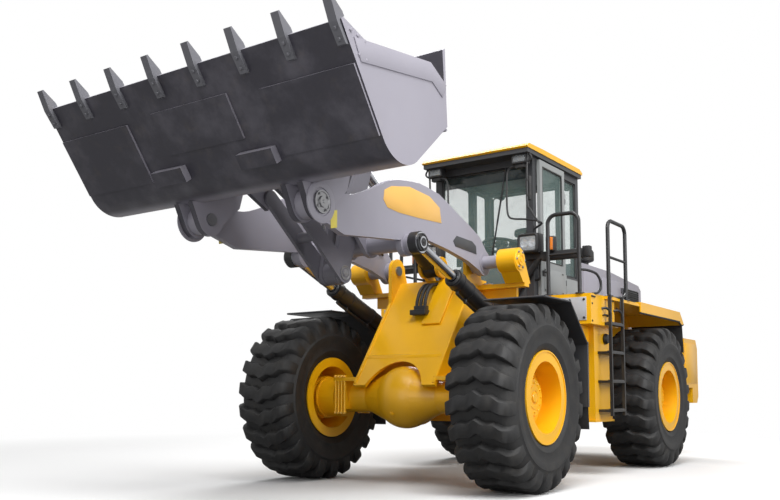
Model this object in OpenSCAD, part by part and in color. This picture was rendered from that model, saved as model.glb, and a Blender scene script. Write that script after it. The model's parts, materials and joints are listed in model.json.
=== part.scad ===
// Articulated wheel loader, parked straight, boom about level and bucket rolled back.
// The machine is drawn with X forward from the hitch pivot, Y to its left and Z up from the ground.

/* [Wheels] */
// Distance between the axles
wheelbase = 3300; // [3000:10:3600]
// Distance between the wheels' middle planes
track = 2250; // [2150:10:2400]
// Radius of the tyre over its lugs
tyre_r = 790; // [740:5:840]
// Width of the tyre
tyre_w = 595; // [520:5:640]
// Number of lugs round a tyre
lugs = 22; // [18:1:26]
// Height of a tyre's lugs
lug_h = 46; // [36:2:56]
// Width of the grooves between the lugs
groove_w = 84; // [60:2:100]
// Angle of the lugs to the wheel's axis
lug_slant = 22; // [10:1:30]
// Radius of the rim's bead seat
rim_r = 318; // [300:1:340]
// Height of the rim flange above the bead seat
flange_h = 65; // [45:1:75]
// Radius of the spindle that carries a wheel
spindle_r = 90; // [75:1:100]
// Radius of the axle's middle housing
banjo_r = 285; // [250:5:290]

/* [Hitch] */
// Radius of the hitch lugs' round noses
nose_r = 130; // [110:5:150]
// Radius of the hitch pins
hitch_pin_r = 50; // [40:1:60]
// Thickness of a front frame lug
lug_t = 70; // [50:2:80]
// Thickness of a rear frame lug
ear_t = 40; // [30:2:44]
// Height of the upper hitch lug's middle
hitch_top_z = 1290; // [1250:5:1300]
// Height of the lower hitch lug's middle
hitch_low_z = 580; // [560:5:590]
// Height of the steering cylinders
steer_z = 750; // [735:5:765]

/* [Frames] */
// Width over the front frame's side plates
front_w = 884; // [840:4:900]
// Width over the rear frame's side plates
rear_w = 740; // [700:4:780]
// Thickness of the frames' plates
plate_t = 35; // [25:1:45]
// Rearmost point of the counterweight, behind the rear axle
tail = 2050; // [1950:10:2150]
// Width of the counterweight
weight_w = 2300; // [2000:20:2500]

/* [Boom] */
// Boom pivot, ahead of the hitch
pivot_x = 1190; // [1180:2:1200]
// Boom pivot, above the ground
pivot_z = 2040; // [2030:2:2060]
// Boom tip pin, ahead of the boom pivot
boom_reach = 2498; // [2460:2:2540]
// Boom tip pin, above the boom pivot
boom_rise = 108; // [80:2:140]
// Distance between the two arms' middle planes
arm_gap = 1080; // [1070:2:1090]
// Thickness of an arm
arm_t = 54; // [44:2:60]
// Radius of the boom's pivot pins, tip pins and lift pins
boom_pin_r = 48; // [42:1:52]

/* [Linkage] */
// Radius of the rocker's pins
link_pin_r = 40; // [34:1:44]
// Thickness of a rocker plate
rocker_t = 35; // [28:1:38]
// Outer radius of the lift cylinder's barrel
lift_r = 78; // [70:1:78]
// Radius of the lift cylinder's rod
lift_rod_r = 42; // [36:1:48]
// Outer radius of the tilt cylinder's barrel
tilt_r = 95; // [86:1:100]
// Radius of the tilt cylinder's rod
tilt_rod_r = 48; // [42:1:54]
// Outer radius of the steering cylinder's barrel
steer_r = 55; // [48:1:60]
// Radius of the steering cylinder's rod
steer_rod_r = 25; // [22:1:30]

/* [Bucket] */
// Width of the bucket
bucket_w = 2860; // [2860:10:3000]
// Angle of the bucket's floor above level
curl = 55; // [50:1:56]
// Thickness of the bucket's shell
shell_t = 28; // [20:1:34]
// Number of teeth
teeth = 8; // [6:1:9]
// Width of a tooth
tooth_w = 62; // [50:2:80]
// Length of a tooth ahead of the edge
tooth_l = 150; // [120:5:200]
// Thickness of the wear plates under the floor
wear_t = 16; // [10:1:18]

/* [Cab] */
// Front of the cab, ahead of the hitch
cab_front = 170; // [150:5:190]
// Length of the cab
cab_l = 1200; // [1180:10:1210]
// Width of the cab
cab_w = 1180; // [1140:10:1190]
// Height of the cab's floor
floor_z = 1700; // [1690:5:1720]
// Height of the roof
roof_z = 3390; // [3340:10:3440]
// Width of a cab post
post = 75; // [60:5:80]
// Width of the door
door_w = 630; // [600:5:640]

/* [Rear body] */
// Width of the engine hood
hood_w = 1200; // [1150:10:1200]
// Height of the hood at the cab
hood_z = 2320; // [2260:10:2380]
// Thickness of the hood's sheet
sheet = 12; // [8:1:16]
// Width over the side platforms
deck_w = 2600; // [2580:10:2640]
// Height of the side platforms
deck_z = 1800; // [1790:2:1810]
// Radius of the guard rails' tube
rail_r = 20; // [16:1:24]

/* [Hidden] */
$fn = 48;
gap = 5;
fit = 0.3;
run = 0.5;
seat_gap = 0.5;
yellow = [0.95, 0.68, 0.08];
grey = [0.62, 0.60, 0.65];
dark = [0.24, 0.24, 0.26];
black = [0.09, 0.09, 0.10];
steel = [0.75, 0.76, 0.78];
glass = [0.62, 0.75, 0.75, 0.5];
axle_x = wheelbase / 2;
axle_z = tyre_r;
side = track / 2;
flange_r = rim_r + flange_h;
rim_hw = 262;
hub_r = 205;
hub_in = 180;
hub_out = 150;
disc_z = 30;
tip_x = pivot_x + boom_reach;
tip_z = pivot_z + boom_rise;
arm_y = arm_gap / 2;
arm_in = arm_y - arm_t / 2;
arm_out = arm_y + arm_t / 2;
hub_t = 92;
tip_in = arm_y - hub_t / 2;
tip_out = arm_y + hub_t / 2;
ear_plate = 50;
side_in = front_w / 2 - plate_t;
side_out = front_w / 2;
edge_u = 1130;
tooth_u = edge_u + tooth_l;
floor_n = -160;
tooth_tip_x = tip_x + tooth_u * cos(curl) - (floor_n - 10) * sin(curl);
tail_x = -axle_x - tail;
origin_x = (tooth_tip_x + tail_x) / 2;
rear_x = cab_front - cab_l;
hood_front = rear_x - 30;
hood_back = hood_front - 2040;
cab_hw = cab_w / 2;
deck_hw = deck_w / 2;

// Linkage pins, ahead of and above the boom pivot, on the machine's middle plane.
rocker_at = [pivot_x + 1410, pivot_z + 250];
low_at = [pivot_x + 1540, pivot_z - 235];
top_at = [rocker_at[0] - 215, rocker_at[1] + 520];
ear_r = 350;
ear_dir = 150;
link_at = [tip_x + ear_r * cos(ear_dir), tip_z + ear_r * sin(ear_dir)];
tube_at = [pivot_x + 1180, pivot_z + 45];
tube_r = 85;
link_hw = 118;
lift_at = [pivot_x + 1288, pivot_z - 5];
lift_base = [pivot_x - 230, pivot_z - 600];
lift_y = arm_out + 90;
steer_base = [-700, 420];
steer_pin = [350, 330];
steer_pin_r = 34;

// Puts a machine drawn from its hitch pivot onto the part's origin.
module place() {
    translate([-origin_x, 0, 0]) children();
}

// The same on both flanks.
module both() {
    children();
    mirror([0, 1, 0]) children();
}

// A flat outline in X and Z, thickened from y0 to y1.
module slab(y0, y1) {
    translate([0, y1, 0]) rotate([90, 0, 0]) linear_extrude(y1 - y0) children();
}

// A flat outline in X and Y, thickened from z0 to z1.
module deck(z0, z1) {
    translate([0, 0, z0]) linear_extrude(z1 - z0) children();
}

// A bar along Y.
module bar(at, r, y0, y1) {
    slab(y0, y1) translate(at) circle(r);
}

// A round tube between two points.
module strut(a, b, r) {
    d = b - a;
    l = norm(d);
    translate(a) rotate([0, acos(d[2] / l), atan2(d[1], d[0])]) cylinder(r = r, h = l);
}

// A block between two corners.
module block(a, b) {
    translate(a) cube(b - a);
}

// A flat bar in X and Z from a to b with round ends.
module bar2d(a, b, ra, rb) {
    d = b - a;
    n = [-d[1], d[0]] / norm(d);
    polygon([a + n * ra, b + n * rb, b - n * rb, a - n * ra]);
    translate(a) circle(ra);
    translate(b) circle(rb);
}

// A bucket point: u along its floor and n square to it, from the tip pin.
function bucket_pt(u, n) = [tip_x + u * cos(curl) - n * sin(curl), tip_z + u * sin(curl) + n * cos(curl)];

module bucket_frame() {
    translate([tip_x, tip_z]) rotate(curl) children();
}

// A guard rail hoop in X and Z, w long and h high, with round corners.
module hoop(w, h) {
    bend = 90;
    for (x = [0, w]) translate([x, 0, 0]) cylinder(r = rail_r, h = h - bend);
    translate([bend, 0, h]) rotate([0, 90, 0]) cylinder(r = rail_r, h = w - 2 * bend);
    translate([bend, 0, h - bend]) rotate([90, 0, 0]) rotate([0, 0, 90])
        rotate_extrude(angle = 90) translate([bend, 0]) circle(rail_r);
    translate([w - bend, 0, h - bend]) rotate([90, 0, 0])
        rotate_extrude(angle = 90) translate([bend, 0]) circle(rail_r);
}

// Turns a wheel's axis onto Y, outward on the given flank.
module on_wheel(x, flank) {
    translate([x, flank * side, axle_z]) rotate([-90 * flank, 0, 0]) children();
}

module tyre(x, flank) {
    hw = tyre_w / 2;
    bead = rim_hw - 18;
    half = [[rim_r + fit, bead], [flange_r + 6, bead + 2], [flange_r + 20, rim_hw], [510, hw - 8],
        [610, hw], [690, hw - 12], [tyre_r - 35, hw - 30], [tyre_r, hw - 72]];
    low = [for (i = [len(half) - 1 : -1 : 0]) [half[i][0], -half[i][1]]];
    color(black) on_wheel(x, flank) difference() {
        rotate_extrude($fn = 96) polygon(concat(half, low));
        for (i = [0 : lugs - 1], s = [-1, 1]) rotate(i * 360 / lugs) translate([tyre_r - lug_h, 0, 0])
            rotate([s * lug_slant, 0, 0]) translate([0, -groove_w / 2, s > 0 ? -10 : -hw - 80])
                cube([lug_h + 40, groove_w, hw + 90]);
    }
}

module rim(x, flank) {
    color(yellow) on_wheel(x, flank) rotate_extrude($fn = 96) {
        for (s = [-1, 1]) {
            translate([rim_r - 20, s > 0 ? rim_hw - 12 : -rim_hw]) square([flange_h + 20, 12]);
        }
        translate([rim_r - 20, -rim_hw]) square([20, 2 * rim_hw]);
        translate([hub_r - 10, disc_z]) square([rim_r - hub_r, 30]);
        translate([spindle_r + run, -hub_in]) square([hub_r - spindle_r - run, hub_in + 60]);
        translate([0, 60]) square([hub_r, 30]);
        translate([0, 80]) square([hub_r - 55, hub_out - 80]);
    }
}

// The axle's housing, pads, drums and spindles.
module axle(x, pad_in, pad_out, pad_z) {
    color(yellow) translate([x, 0, 0]) {
        translate([0, 0, axle_z]) sphere(banjo_r);
        bar([0, axle_z], 140, -drum_y, drum_y);
        both() {
            translate([0, 110, axle_z]) rotate([-90, 0, 0]) cylinder(r1 = 255, r2 = 140, h = 270);
            bar([0, axle_z], 185, drum_y, side - hub_in - 12);
            bar([0, axle_z], spindle_r, side - hub_in - 20, side + 60 - gap);
            block([-180, pad_in, axle_z - 110], [180, pad_out, pad_z]);
        }
    }
}

pad_z = axle_z + 150;
drum_y = side_out + 270;

module front_axle() {
    axle(axle_x, side_out + 120, side_out + 250, pad_z);
}

module rear_axle() {
    axle(-axle_x, rear_w / 2 - 80, rear_w / 2 + 20, axle_z + 210);
}

// A hitch lug's outline, pointing forward or back.
module lug(dir, hw, reach) {
    circle(nose_r);
    polygon([[0, nose_r], [dir * reach, hw], [dir * (reach + 280), hw], [dir * (reach + 280), -hw],
        [dir * reach, -hw], [0, -nose_r]]);
}

ear_out = tip_out + 345;

module front_frame() {
    front_x = axle_x + 200;
    ear_r = 120;
    slope = (1918 - 900) / (1110 - front_x);
    face_x = front_x + (1620 - 900) / slope;
    color(yellow) difference() {
        union() {
            both() slab(side_in, side_out) {
                polygon([[450, hitch_low_z - lug_t / 2], [1180, hitch_low_z - lug_t / 2], [1400, pad_z],
                    [front_x, pad_z], [face_x, 1620], [pivot_x + ear_r, 1620], [pivot_x + ear_r, pivot_z],
                    [pivot_x - ear_r, pivot_z], [pivot_x - 190, 1850], [860, 1500], [700, hitch_top_z + 40],
                    [450, hitch_top_z + 40]]);
                translate([pivot_x, pivot_z]) circle(ear_r);
            }
            slab(-side_out, side_out) polygon([[front_x, 880], [front_x + plate_t, 900],
                [1110 + plate_t, 1918], [1110, 1918], [1110 - 20, 1888]]);
            block([860, -side_in, 1880], [1120, side_in, 1915]);
            deck(hitch_top_z - lug_t / 2, hitch_top_z + lug_t / 2) lug(1, side_in + 1, 420);
            deck(hitch_low_z - lug_t / 2, hitch_low_z + lug_t / 2) lug(1, side_in + 1, 420);
            both() {
                slab(75, 110) {
                    polygon([[980, 1900], [pivot_x - 100, pivot_z], [pivot_x + 100, pivot_z], [1120, 1900]]);
                    translate([pivot_x, pivot_z]) circle(100);
                }
                slab(tip_out + 160, ear_out) {
                    polygon([[970, 1840], [pivot_x - 110, pivot_z], [pivot_x + 110, pivot_z], [1120, 1840]]);
                    translate([pivot_x, pivot_z]) circle(110);
                }
                block([960, side_in, 1805], [1090, tip_out + 215, 1845]);
                block([1000, tip_out + 200, 1805], [1090, ear_out, 1845]);
                slab(side_in, tip_out + 215) polygon([[960, 1805], [1000, 1805], [1000, 1700], [960, 1700]]);
                block([axle_x - 200, side_in, pad_z], [axle_x + 200, side_out + 260, pad_z + 35]);
                bar(lift_base, 85, side_in, lift_y - 38);
                block([fender_x - 65, side_in, fender_z - 425], [fender_x, side + 25, fender_z - 375]);
                translate([steer_pin[0], steer_pin[1], hitch_low_z])
                    cylinder(r = 55, h = steer_z - 30 - seat_gap - hitch_low_z);
            }
        }
        translate([axle_x - 400, 0, axle_z]) rotate([0, 90, 0]) cylinder(r = banjo_r + 40, h = 900);
        bar([pivot_x, pivot_z], boom_pin_r + fit, -1000, 1000);
        for (z = [hitch_top_z, hitch_low_z])
            translate([0, 0, z - lug_t]) cylinder(r = hitch_pin_r + run, h = 2 * lug_t);
    }
}

module pivot_pins() {
    color(steel) {
        both() bar([pivot_x, pivot_z], boom_pin_r, side_in - 15, ear_out + 15);
        bar([pivot_x, pivot_z], boom_pin_r, -125, 125);
        both() bar(lift_base, boom_pin_r, lift_y - 38, lift_y + 50);
    }
}

fender_z = axle_z + tyre_r + 40;
fender_x = axle_x - tyre_r - 60;

module front_fenders() {
    y0 = side - tyre_w / 2 + 12;
    y1 = side + tyre_w / 2 - 12;
    t = 12;
    color(dark) both() slab(y0, y1) polygon([[axle_x + 60, fender_z], [axle_x + 60, fender_z + t],
        [fender_x + 380, fender_z + t], [fender_x, fender_z - 350], [fender_x, axle_z - 90],
        [fender_x + t, axle_z - 90], [fender_x + t, fender_z - 354], [fender_x + 386, fender_z]]);
}

// Undersides of the rear frame's upper and lower lugs, and the top of its side plates.
upper_lugs = [hitch_top_z - lug_t / 2 - gap - ear_t, hitch_top_z + lug_t / 2 + gap];
lower_lugs = [hitch_low_z - lug_t / 2 - gap - ear_t, hitch_low_z + lug_t / 2 + gap];
plate_top = upper_lugs[1] + ear_t;

// Lugs, cross members, steering brackets and cab feet, between and on the side plates.
module rear_frame() {
    hw = rear_w / 2;
    inner = hw - plate_t;
    color(yellow) difference() {
        union() {
            for (z = concat(upper_lugs, lower_lugs)) deck(z, z + ear_t) lug(-1, inner, 420);
            both() {
                block([-780, hw, lower_lugs[1]], [-620, steer_base[1] + 60, lower_lugs[1] + ear_t]);
                block([-780, inner, 860], [-620, steer_base[1] + 60, 900]);
                translate([steer_base[0], steer_base[1], lower_lugs[1]])
                    cylinder(r = steer_pin_r, h = 900 - lower_lugs[1]);
                block([-350, 200, plate_top - 1], [-250, deck_in, 1500]);
                block([-950, inner, plate_top], [-850, deck_in + 60, 1500]);
                translate([-180, 150, plate_top - 1]) cylinder(r = 55, h = floor_z - 60 - plate_top + 1);
                translate([rear_x + 250, hw - plate_t / 2, plate_top])
                    cylinder(r = 55, h = floor_z - 60 - plate_top);
            }
            for (x = [-900, -1560, -2600, hood_back + 40])
                block([x - 40, -inner, 1085], [x + 40, inner, 1100]);
            block([hood_back, -inner, 760], [hood_back + 40, inner, plate_top]);
        }
        for (z = [hitch_top_z, hitch_low_z])
            translate([0, 0, z - 200]) cylinder(r = hitch_pin_r + fit, h = 400);
    }
}

// The long side plates, arched over the axle and open at the steering cylinders.
module rear_plates() {
    hw = rear_w / 2;
    color(yellow) both() slab(hw - plate_t, hw) polygon([[-420, lower_lugs[0]], [-1150, lower_lugs[0]],
        [-1150, 1000], [-2150, 1000], [-2150, 760], [hood_back, 760], [hood_back, plate_top], [-420, plate_top],
        [-420, 900], [-900, 900], [-900, lower_lugs[1] + ear_t], [-420, lower_lugs[1] + ear_t]]);
}

module hitch_pins() {
    h = lug_t + 2 * gap + 2 * ear_t + 30;
    color(steel) for (z = [hitch_top_z, hitch_low_z])
        translate([0, 0, z - h / 2]) cylinder(r = hitch_pin_r, h = h);
}

module engine_block() {
    color(dark) block([-2650, -290, 1100], [-1500, 290, 1950]);
}

module hood() {
    hw = hood_w / 2;
    low = hitch_top_z + lug_t / 2 + gap + ear_t;
    color(grey) difference() {
        slab(-hw, hw) polygon([[hood_front, low], [hood_back, low], [hood_back, hood_z - 130],
            [hood_back + 90, hood_z - 70], [hood_front - 900, hood_z], [hood_front, hood_z]]);
        slab(-hw + sheet, hw - sheet) polygon([[hood_front - sheet, low - 5], [hood_back + sheet, low - 5],
            [hood_back + sheet, hood_z - 136], [hood_back + 94, hood_z - 70 - sheet],
            [hood_front - 900, hood_z - sheet],
            [hood_front - sheet, hood_z - sheet]]);
    }
}

module hood_grilles() {
    hw = hood_w / 2;
    color(black) {
        block([hood_back - 40, -hw + 70, 1560], [hood_back, hw - 70, hood_z - 200]);
        both() block([hood_back + 150, hw, hood_z - 420], [hood_back + 700, hw + 15, hood_z - 160]);
    }
}

module counterweight() {
    hw = weight_w / 2;
    color(yellow) difference() {
        slab(-hw, hw) polygon([[hood_back, 700], [tail_x + 60, 700], [tail_x, 790], [tail_x, 1430],
            [tail_x + 70, 1540], [hood_back, 1540]]);
        both() {
            block([hood_back - 340, hood_w / 2 + 200, 650], [hood_back + 10, hw + 10, 900]);
            block([tail_x - 10, 850, 1200], [tail_x + 40, 1050, 1300]);
        }
        block([tail_x - 10, -90, 900], [tail_x + 230, 90, 1060]);
        translate([tail_x + 130, 0, 700 - 10]) cylinder(r = tow_r, h = 500);
    }
}

module rear_fenders() {
    y0 = hood_w / 2;
    y1 = deck_hw;
    z = deck_z + 20;
    far = -axle_x - tyre_r - 10;
    color(yellow) both() {
        slab(y0, y1) polygon([[-1010, z], [far, z], [far - 150, z - 140], [far - 136, z - 150],
            [far, z - 15], [-1010, z - 15]]);
        slab(y1 - 15, y1) polygon([[-1010, z], [far, z], [far - 150, z - 140], [far - 70, z - 160],
            [far + 50, z - 120], [-1010, z - 120]]);
        slab(y0, y0 + 15) polygon([[-1010, z], [far, z], [far - 150, z - 140], [far - 150, 1500],
            [-1010, 1500]]);
    }
}

module cab_frame() {
    hw = cab_hw;
    top = roof_z - 100;
    mid = rear_x + 400;
    color(dark) {
        block([rear_x, -hw, floor_z - 60], [cab_front, hw, floor_z]);
        both() {
            block([cab_front - post, hw - post, floor_z], [cab_front, hw, top]);
            block([rear_x, hw - post, floor_z], [rear_x + post, hw, top]);
            block([mid, hw - post, floor_z], [mid + post, hw, top]);
            block([rear_x, hw - post, top - post], [cab_front, hw, top]);
            block([rear_x, hw - 30, floor_z], [mid + post, hw, floor_z + 420]);
        }
        block([cab_front - post, -hw, top - post], [cab_front, hw, top]);
        block([rear_x, -hw, top - post], [rear_x + post, hw, top]);
        block([rear_x - 5, -hw - 40, top], [cab_front + 195, hw + 40, top + 45]);
        block([cab_front - 40, -hw, floor_z], [cab_front, hw, floor_z + 250]);
        block([rear_x, -hw, floor_z], [rear_x + 30, hw, floor_z + 450]);
        block([mid, -hw, floor_z], [cab_front, -hw + 30, floor_z + 420]);
        for (z = hinge_z) {
            translate([hinge_at[0], hinge_at[1], z]) cylinder(r = hinge_r, h = 60);
            block([hinge_at[0] - 14, hw - 5, z], [hinge_at[0] + 14, hinge_at[1], z + 60]);
        }
    }
}

module cab_roof() {
    hw = cab_hw + 50;
    color(yellow) slab(-hw, hw) polygon([[rear_x - 20, roof_z - 55], [cab_front + 205, roof_z - 55],
        [cab_front + 220, roof_z - 40], [cab_front + 175, roof_z - 8], [cab_front - 150, roof_z],
        [rear_x + 60, roof_z], [rear_x - 20, roof_z - 30]]);
}

module cab_glass() {
    top = roof_z - 100 - post;
    hw = cab_hw - post;
    mid = rear_x + 400;
    t = 8;
    color(glass) {
        block([cab_front - 40, -hw, floor_z + 250], [cab_front - 40 + t, hw, top]);
        block([rear_x + 10, -hw, floor_z + 450], [rear_x + 10 + t, hw, top]);
        both() block([rear_x + post, cab_hw - 30, floor_z + 420], [mid, cab_hw - 30 + t, top]);
        block([mid + post, -cab_hw + 22, floor_z + 420], [cab_front - post, -cab_hw + 22 + t, top]);
    }
}

module seat() {
    x = rear_x + 275;
    back_z = roof_z - 100 - head_room;
    color(black) {
        block([x, -230, floor_z + 380], [x + 480, 230, floor_z + 500]);
        slab(-220, 220) polygon([[x + 90, floor_z + 500], [x - 60, back_z], [x - 150, back_z - 20],
            [x - 20, floor_z + 500]]);
        block([x + 60, -170, floor_z], [x + 420, 170, floor_z + 380]);
    }
}

module steering_column() {
    base = [cab_front - 240, 0, floor_z + 25];
    hub = [cab_front - 420, 0, floor_z + 760];
    lean = atan2(base[0] - hub[0], hub[2] - base[2]);
    color(black) {
        translate([base[0], 0, floor_z]) cylinder(r = 80, h = 40);
        strut(base, hub, 50);
        translate(hub) rotate([0, -lean, 0]) {
            translate([0, 0, -20]) cylinder(r = 60, h = 40);
            rotate_extrude() translate([205, 0]) circle(18);
            for (a = [30, 150, 270]) rotate([0, 90, a]) cylinder(r = 12, h = 205);
        }
    }
}

column_out = deck_hw - 130;
head_room = 510;
deck_in = cab_hw + 50;
tow_r = 32;

module platforms() {
    color(yellow) both() {
        difference() {
            block([-430, deck_in, 1500], [300, deck_hw - 50, deck_z]);
            block([-431, cab_hw, 1550], [-330, deck_hw, deck_z - 30]);
        }
        block([-430, deck_in, 1330], [250, deck_hw - 185, 1501]);
        block([-430, 720, 560], [40, column_out, 1501]);
        block([-450, 690, 540], [60, column_out + 10, 560]);
        block([-1005, deck_in, deck_z - 30], [-60, deck_hw - 10, deck_z]);
        block([-950, deck_in, 1500], [-850, deck_in + 60, deck_z - 30]);
    }
}

module ladders() {
    x0 = -420;
    x1 = -50;
    color(black) both() {
        for (x = [x0, x1 - 25]) block([x, deck_hw - 10, 600], [x + 25, deck_hw + 20, deck_z + 10]);
        for (i = [0 : 3]) {
            z = 640 + i * 290;
            block([x0, z > 1475 ? deck_hw - 50 : column_out, z], [x1, deck_hw + 20, z + 25]);
        }
    }
}

module guard_rails() {
    color(black) both() {
        translate([280, 800, deck_z]) rotate([0, 0, 90]) hoop(330, 815);
        translate([-640, deck_hw - 32, deck_z]) hoop(500, 790);
    }
}

module headlamps() {
    x = cab_front;
    z = floor_z + 495;
    color(black) both() {
        block([x, cab_hw - 70, z], [x + 62, cab_hw + 625, z + 60]);
        block([x, cab_hw + 560, z - 20], [x + 70, cab_hw + 630, z + 80.5]);
        block([x + 10, cab_hw - 110, z + 59], [x + 120, cab_hw + 115, z + 255]);
        block([x, cab_hw - 270, floor_z + 60], [x + 60, cab_hw - 190, floor_z + 150]);
        strut([x + 30, cab_hw - 230, floor_z + 105], [x + 30, cab_hw + 90, z + 30], 18);
    }
}

module work_lamps() {
    color(black) both() {
        block([cab_front + 60, 430, roof_z - 195], [cab_front + 150, 590, roof_z - 100]);
        block([tail_x, 850, 1200], [tail_x + 40, 1050, 1300]);
    }
}

module exhaust_stack() {
    color(black) difference() {
        translate([hood_front - 500, -330, hood_z]) cylinder(r = 70, h = 560);
        translate([hood_front - 500, -330, hood_z + 100]) cylinder(r = 60, h = 620);
    }
}

door_x = cab_front - post - 15;
door_y = cab_hw + gap;
hinge_at = [door_x - door_w - 25, door_y + 17];
hinge_z = [floor_z + 300, roof_z - 480];
hinge_r = 16;

module door_left() {
    x0 = door_x - door_w;
    top = roof_z - 120;
    color(dark) {
        difference() {
            block([x0, door_y, deck_z + 15], [door_x, door_y + 35, top]);
            block([x0 + 60, door_y - 1, floor_z + 500], [door_x - 60, door_y + 40, top - 60]);
        }
        for (z = hinge_z) {
            translate([hinge_at[0], hinge_at[1], z + 60 + seat_gap]) cylinder(r = hinge_r, h = 60);
            block([hinge_at[0], door_y + 8, z + 60 + seat_gap], [x0 + 5, door_y + 26, z + 120]);
        }
    }
}

module door_glass() {
    x0 = door_x - door_w;
    top = roof_z - 120;
    color(glass) block([x0 + 60, door_y + 14, floor_z + 500], [door_x - 60, door_y + 22, top - 60]);
}

module arm_outline() {
    p = [pivot_x, pivot_z];
    b = [tip_x, tip_z];
    polygon([p + [-20, -115], p + [300, -20], p + [640, 35], p + [970, 70], lift_at + [-100, 60],
        lift_at + [110, 20], p + [1410, 10], b + [-370, -165], b + [-110, -95], b + [20, 100], b + [-460, 150],
        b + [-680, 230], p + [1620, 435], p + [1410, 500], p + [1110, 532], p + [800, 500], p + [290, 315],
        p + [80, 230], p + [-115, 40]]);
    translate(p) circle(120);
    translate(b) circle(105);
    translate(lift_at) circle(100);
}

module boom() {
    color(grey) difference() {
        union() {
            both() {
                slab(arm_in, arm_out) arm_outline();
                bar([pivot_x, pivot_z], 90, side_out + gap + 8, arm_out + gap);
                bar([pivot_x, pivot_z], boom_pin_r + 12, arm_out, tip_out + 150);
                bar([tip_x, tip_z], 105, tip_in, tip_out);
                bar(lift_at, 80, arm_in, lift_y - eye_hw - seat_gap);
                slab(88, 125) bar2d(tube_at, rocker_at, 110, 95);
            }
            bar(tube_at, tube_r, -arm_in - 1, arm_in + 1);
        }
        bar([pivot_x, pivot_z], boom_pin_r + run, -1000, 1000);
        bar([tip_x, tip_z], boom_pin_r + fit, -1000, 1000);
        bar(rocker_at, link_pin_r + fit, -200, 200);
    }
}

module linkage_pins() {
    color(steel) {
        both() {
            bar([tip_x, tip_z], boom_pin_r, tip_in - gap - ear_plate - 15, tip_out + gap + ear_plate + 15);
        }
        bar(rocker_at, link_pin_r, -140, 140);
    }
}

module rocker() {
    color(grey) difference() {
        union() {
            both() slab(48, 48 + rocker_t) {
                bar2d(rocker_at, low_at, 115, 95);
                bar2d(rocker_at, top_at, 115, 85);
            }
            bar(rocker_at, 105, -60, 60);
            bar(low_at, 90, -60, 60);
        }
        bar(rocker_at, link_pin_r + run, -200, 200);
        bar(low_at, link_pin_r + run, -200, 200);
    }
    color(steel) both() bar(top_at, link_pin_r + 12, 48 + rocker_t, 48 + rocker_t + 14);
}

module bucket_link() {
    color(grey) {
        both() slab(90, link_hw) bar2d(low_at, link_at, 85, 65);
        bar(low_at, link_pin_r, -125, 125);
        bar((low_at + link_at) / 2, 40, -92, 92);
    }
}

// A cylinder's barrel from its base eye at a towards b, with a flat neck and a bore for its rod.
module barrel(a, b, r, rod_r, l, eye_r, eye_w, pin_r, neck) {
    d = b - a;
    translate(a) rotate([0, acos(d[2] / norm(d)), atan2(d[1], d[0])]) difference() {
        union() {
            translate([0, 0, neck]) cylinder(r = r, h = l - neck);
            translate([0, 0, l - 70]) cylinder(r = r + 5, h = 70);
            translate([-eye_r * 0.8, -eye_w / 2, 0]) cube([eye_r * 1.6, eye_w, neck + 5]);
            rotate([90, 0, 0]) translate([0, 0, -eye_w / 2]) cylinder(r = eye_r, h = eye_w);
        }
        rotate([90, 0, 0]) translate([0, 0, -200]) cylinder(r = pin_r + run, h = 400);
        translate([0, 0, neck + 10]) cylinder(r = rod_r + run, h = l);
    }
}

// A cylinder's rod from its eye at b back towards a, with its pin's ends at the eye's faces.
module rod(a, b, r, l, eye_r, eye_w, pin_r, pin_w) {
    d = a - b;
    l2 = norm(d);
    translate(b) rotate([0, acos(d[2] / l2), atan2(d[1], d[0])]) {
        translate([0, 0, eye_r * 0.7]) cylinder(r = r, h = l - eye_r * 0.7);
        rotate([90, 0, 0]) translate([0, 0, -eye_w / 2]) cylinder(r = eye_r, h = eye_w);
        rotate([90, 0, 0]) cylinder(r = pin_r, h = pin_w);
    }
}

function at_y(p, y) = [p[0], y, p[1]];
lift_l = norm(lift_at - lift_base);
eye_hw = 45;

module lift_barrels() {
    color(black) both() barrel(at_y(lift_base, lift_y), at_y(lift_at, lift_y), lift_r, lift_rod_r,
        lift_l - 610, 92, 70, boom_pin_r, 100);
}

module lift_rods() {
    color(steel) both() rod(at_y(lift_base, lift_y), at_y(lift_at, lift_y), lift_rod_r, lift_l - 620,
        86, 2 * eye_hw, boom_pin_r, eye_hw + 18);
}

tilt_base = [pivot_x, pivot_z];
tilt_l = norm(top_at - tilt_base);
tilt_travel = 580;

module tilt_barrel() {
    color(black) barrel(at_y(tilt_base, 0), at_y(top_at, 0), tilt_r, tilt_rod_r, tilt_l - tilt_travel - 92,
        95, 130, boom_pin_r, 125);
}

module tilt_rod() {
    color(steel) rod(at_y(tilt_base, 0), at_y(top_at, 0), tilt_rod_r, tilt_l - tilt_travel - 142, 80,
        2 * (48 - seat_gap), link_pin_r, 20);
}

// A steering cylinder lies flat, so its eyes turn about upright pins.
module steer_barrel(flank) {
    a = [steer_base[0], flank * steer_base[1], steer_z];
    b = [steer_pin[0], flank * steer_pin[1], steer_z];
    d = b - a;
    color(black) translate(a) rotate([0, 90, atan2(d[1], d[0])]) difference() {
        union() {
            translate([0, 0, 40]) cylinder(r = steer_r, h = 560);
            rotate([0, 90, 0]) translate([0, 0, -32]) cylinder(r = 62, h = 64);
        }
        rotate([0, 90, 0]) translate([0, 0, -100]) cylinder(r = steer_pin_r + run, h = 200);
        translate([0, 0, 75]) cylinder(r = steer_rod_r + run, h = 600);
    }
}

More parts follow.
